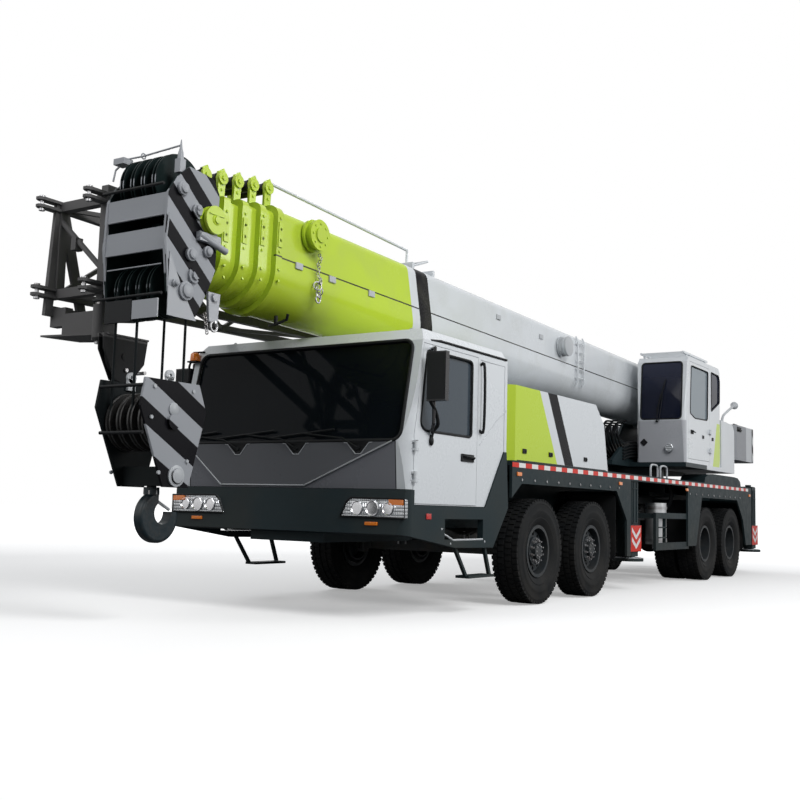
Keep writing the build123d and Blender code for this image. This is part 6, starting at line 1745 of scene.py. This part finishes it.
class CRANE_OT_hook_gear(bpy.types.Operator):
    """Bosses, lifting eye, sheave guards and latch of the hook block"""
    bl_idname = "crane.hook_gear"
    bl_label = "Hook gear"

    def execute(self, context):
        body = "hook_block"
        for side, x, way in (("left", 0.242, 1), ("right", -0.270, -1)):
            rings = Model()
            rings.turned([(0, 0.085), (0.012, 0.085), (0.016, 0.060), (0.030, 0.055), (0.034, 0.025)],
                    (x, -4.33, 1.18), (way, 0, 0), 36)
            rings.turned([(0, 0.05), (0.012, 0.05), (0.02, 0.035)], (x, -4.39, 1.70), (way, 0, 0), 28)
            for y, z in ((-4.60, 1.86), (-4.18, 1.86), (-4.52, 1.20), (-4.22, 1.30), (-4.62, 1.62)):
                rings.rod((x, y, z), (x + way * 0.014, y, z), 0.016, sides=6)
            rings.piece(f"block_bosses_{side}", "pale_grey", body)
        eye = Model()
        for x in (0.195, -0.235):
            eye.turned([(-0.012, 0.016), (-0.012, 0.045), (0.012, 0.045), (0.012, 0.016)],
                    (x, -4.40, 1.965), (1, 0, 0), 28, hollow=True)
            eye.block((x - 0.012, x + 0.012), (-4.44, -4.36), (1.86, 1.955))
        eye.piece("block_eye", "edge_paint", body)
        sheaves = Model()
        for x in (-0.20, -0.08, 0.04, 0.16):
            sheaves.turned([(-0.028, 0.15), (-0.028, 0.232), (-0.012, 0.232), (0, 0.198), (0.012, 0.232),
                    (0.028, 0.232), (0.028, 0.15)], (x, -4.42, 1.60), (1, 0, 0), 48)
        sheaves.piece("lower_sheaves", "greased_steel", body)
        bars = Model()
        for y, z in ((-4.70, 1.86), (-4.14, 1.86), (-4.68, 1.50), (-4.08, 1.62)):
            bars.rod((-0.25, y, z), (0.225, y, z), 0.014)
        bars.piece("block_tie_bars", "trim", body)
        latch = Model().pipe([(-0.015, -4.345, 1.005), (-0.015, -4.30, 1.00), (-0.015, -4.13, 0.915)],
                0.013, 8)
        latch.block((-0.045, 0.015), (-4.36, -4.32), (0.985, 1.025))
        latch.piece("hook_latch", "edge_paint", "hook")
        nut = Model().turned([(0, 0.065), (0.03, 0.065), (0.035, 0.05)], (-0.015, -4.33, 1.035),
                (0, 0, 1), 6)
        nut.piece("hook_collar", "bare_steel", "hook")
        return {"FINISHED"}


class CRANE_OT_jib_fittings(bpy.types.Operator):
    """Pins, gussets and hook ball of the folded jib"""
    bl_idname = "crane.jib_fittings"
    bl_label = "Jib fittings"

    def execute(self, context):
        pins = Model()
        for x in (-1.15, -0.56):
            for z in (2.72, 3.48):
                pins.turned([(-0.07, 0.012), (-0.07, 0.026), (-0.05, 0.026), (-0.05, 0.017),
                        (0.05, 0.017), (0.05, 0.026), (0.062, 0.026)], (x, -4.66, z), (0, 0, 1), 18)
        pins.rod((-0.55, -4.50, 2.25), (-0.55, -4.50, 2.61), 0.022)
        for y in (-4.30, -4.10):
            pins.rod((-0.40, y, 2.05), (-0.525, y, 2.05), 0.016, sides=10)
        pins.piece("jib_pins", "bare_steel", "boom_base")
        gussets = Model().rod((-1.13, -4.46, 3.36), (-0.60, -4.46, 2.90), 0.024)
        gussets.block((-0.95, -0.89), (-4.50, -4.42), (3.08, 3.19))
        for step in range(1, 9):
            share = step / 9
            y = -4.45 + 9.15 * share
            near_x = -0.56 - 0.136 * share
            for z in (2.72 + 0.15 * share, 3.48 - 0.23 * share):
                gussets.block((near_x + 0.033, near_x + 0.040), (y - 0.09, y + 0.09),
                        (z - 0.045, z + 0.045))
        gussets.piece("jib_gussets", "jib_grey", "boom_base", soften=0.003)
        ball = Model().ball((-0.455, -4.26, 1.70), 0.085, (0.85, 0.85, 1.1))
        ball.turned([(0, 0.03), (0.03, 0.05), (0.12, 0.035), (0.14, 0.02)], (-0.455, -4.26, 1.76),
                (0, 0, 1), 20)
        ball.pipe([(-0.455, -4.26, 1.64), (-0.455, -4.26, 1.56), (-0.455, -4.21, 1.52),
                (-0.455, -4.17, 1.56)], 0.018, 10, smooth=5)
        ball.piece("hook_ball", "forged", "boom_base")
        return {"FINISHED"}


PIECES = (CRANE_OT_stage, CRANE_OT_paintwork, CRANE_OT_tyres, CRANE_OT_wheel_nuts, CRANE_OT_cab_front,
        CRANE_OT_cab_sides, CRANE_OT_cab_interior, CRANE_OT_deck_edge, CRANE_OT_outriggers,
        CRANE_OT_deck_fittings, CRANE_OT_running_gear, CRANE_OT_rear_end, CRANE_OT_engine_hood,
        CRANE_OT_operator_cab, CRANE_OT_turntable, CRANE_OT_winch, CRANE_OT_boom, CRANE_OT_boom_head,
        CRANE_OT_hook_gear, CRANE_OT_jib_fittings)


class CRANE_PT_panel(bpy.types.Panel):
    """Lists the crane's pieces in the sidebar"""
    bl_label = "Crane"
    bl_idname = "CRANE_PT_panel"
    bl_space_type = "VIEW_3D"
    bl_region_type = "UI"
    bl_category = "Crane"

    def draw(self, context):
        for name in CraneSettings.__annotations__:
            self.layout.prop(context.scene.crane, name)
        for piece in PIECES:
            self.layout.operator(piece.bl_idname)


CLASSES = (CraneSettings, *PIECES, CRANE_PT_panel)


def register():
    for cls in CLASSES:
        bpy.utils.register_class(cls)
    bpy.types.Scene.crane = bpy.props.PointerProperty(type=CraneSettings)


def unregister():
    del bpy.types.Scene.crane
    for cls in reversed(CLASSES):
        bpy.utils.unregister_class(cls)


def main():
    register()
    for piece in PIECES:
        group, name = piece.bl_idname.split(".")
        getattr(getattr(bpy.ops, group), name)()


if __name__ == "__main__":
    main()
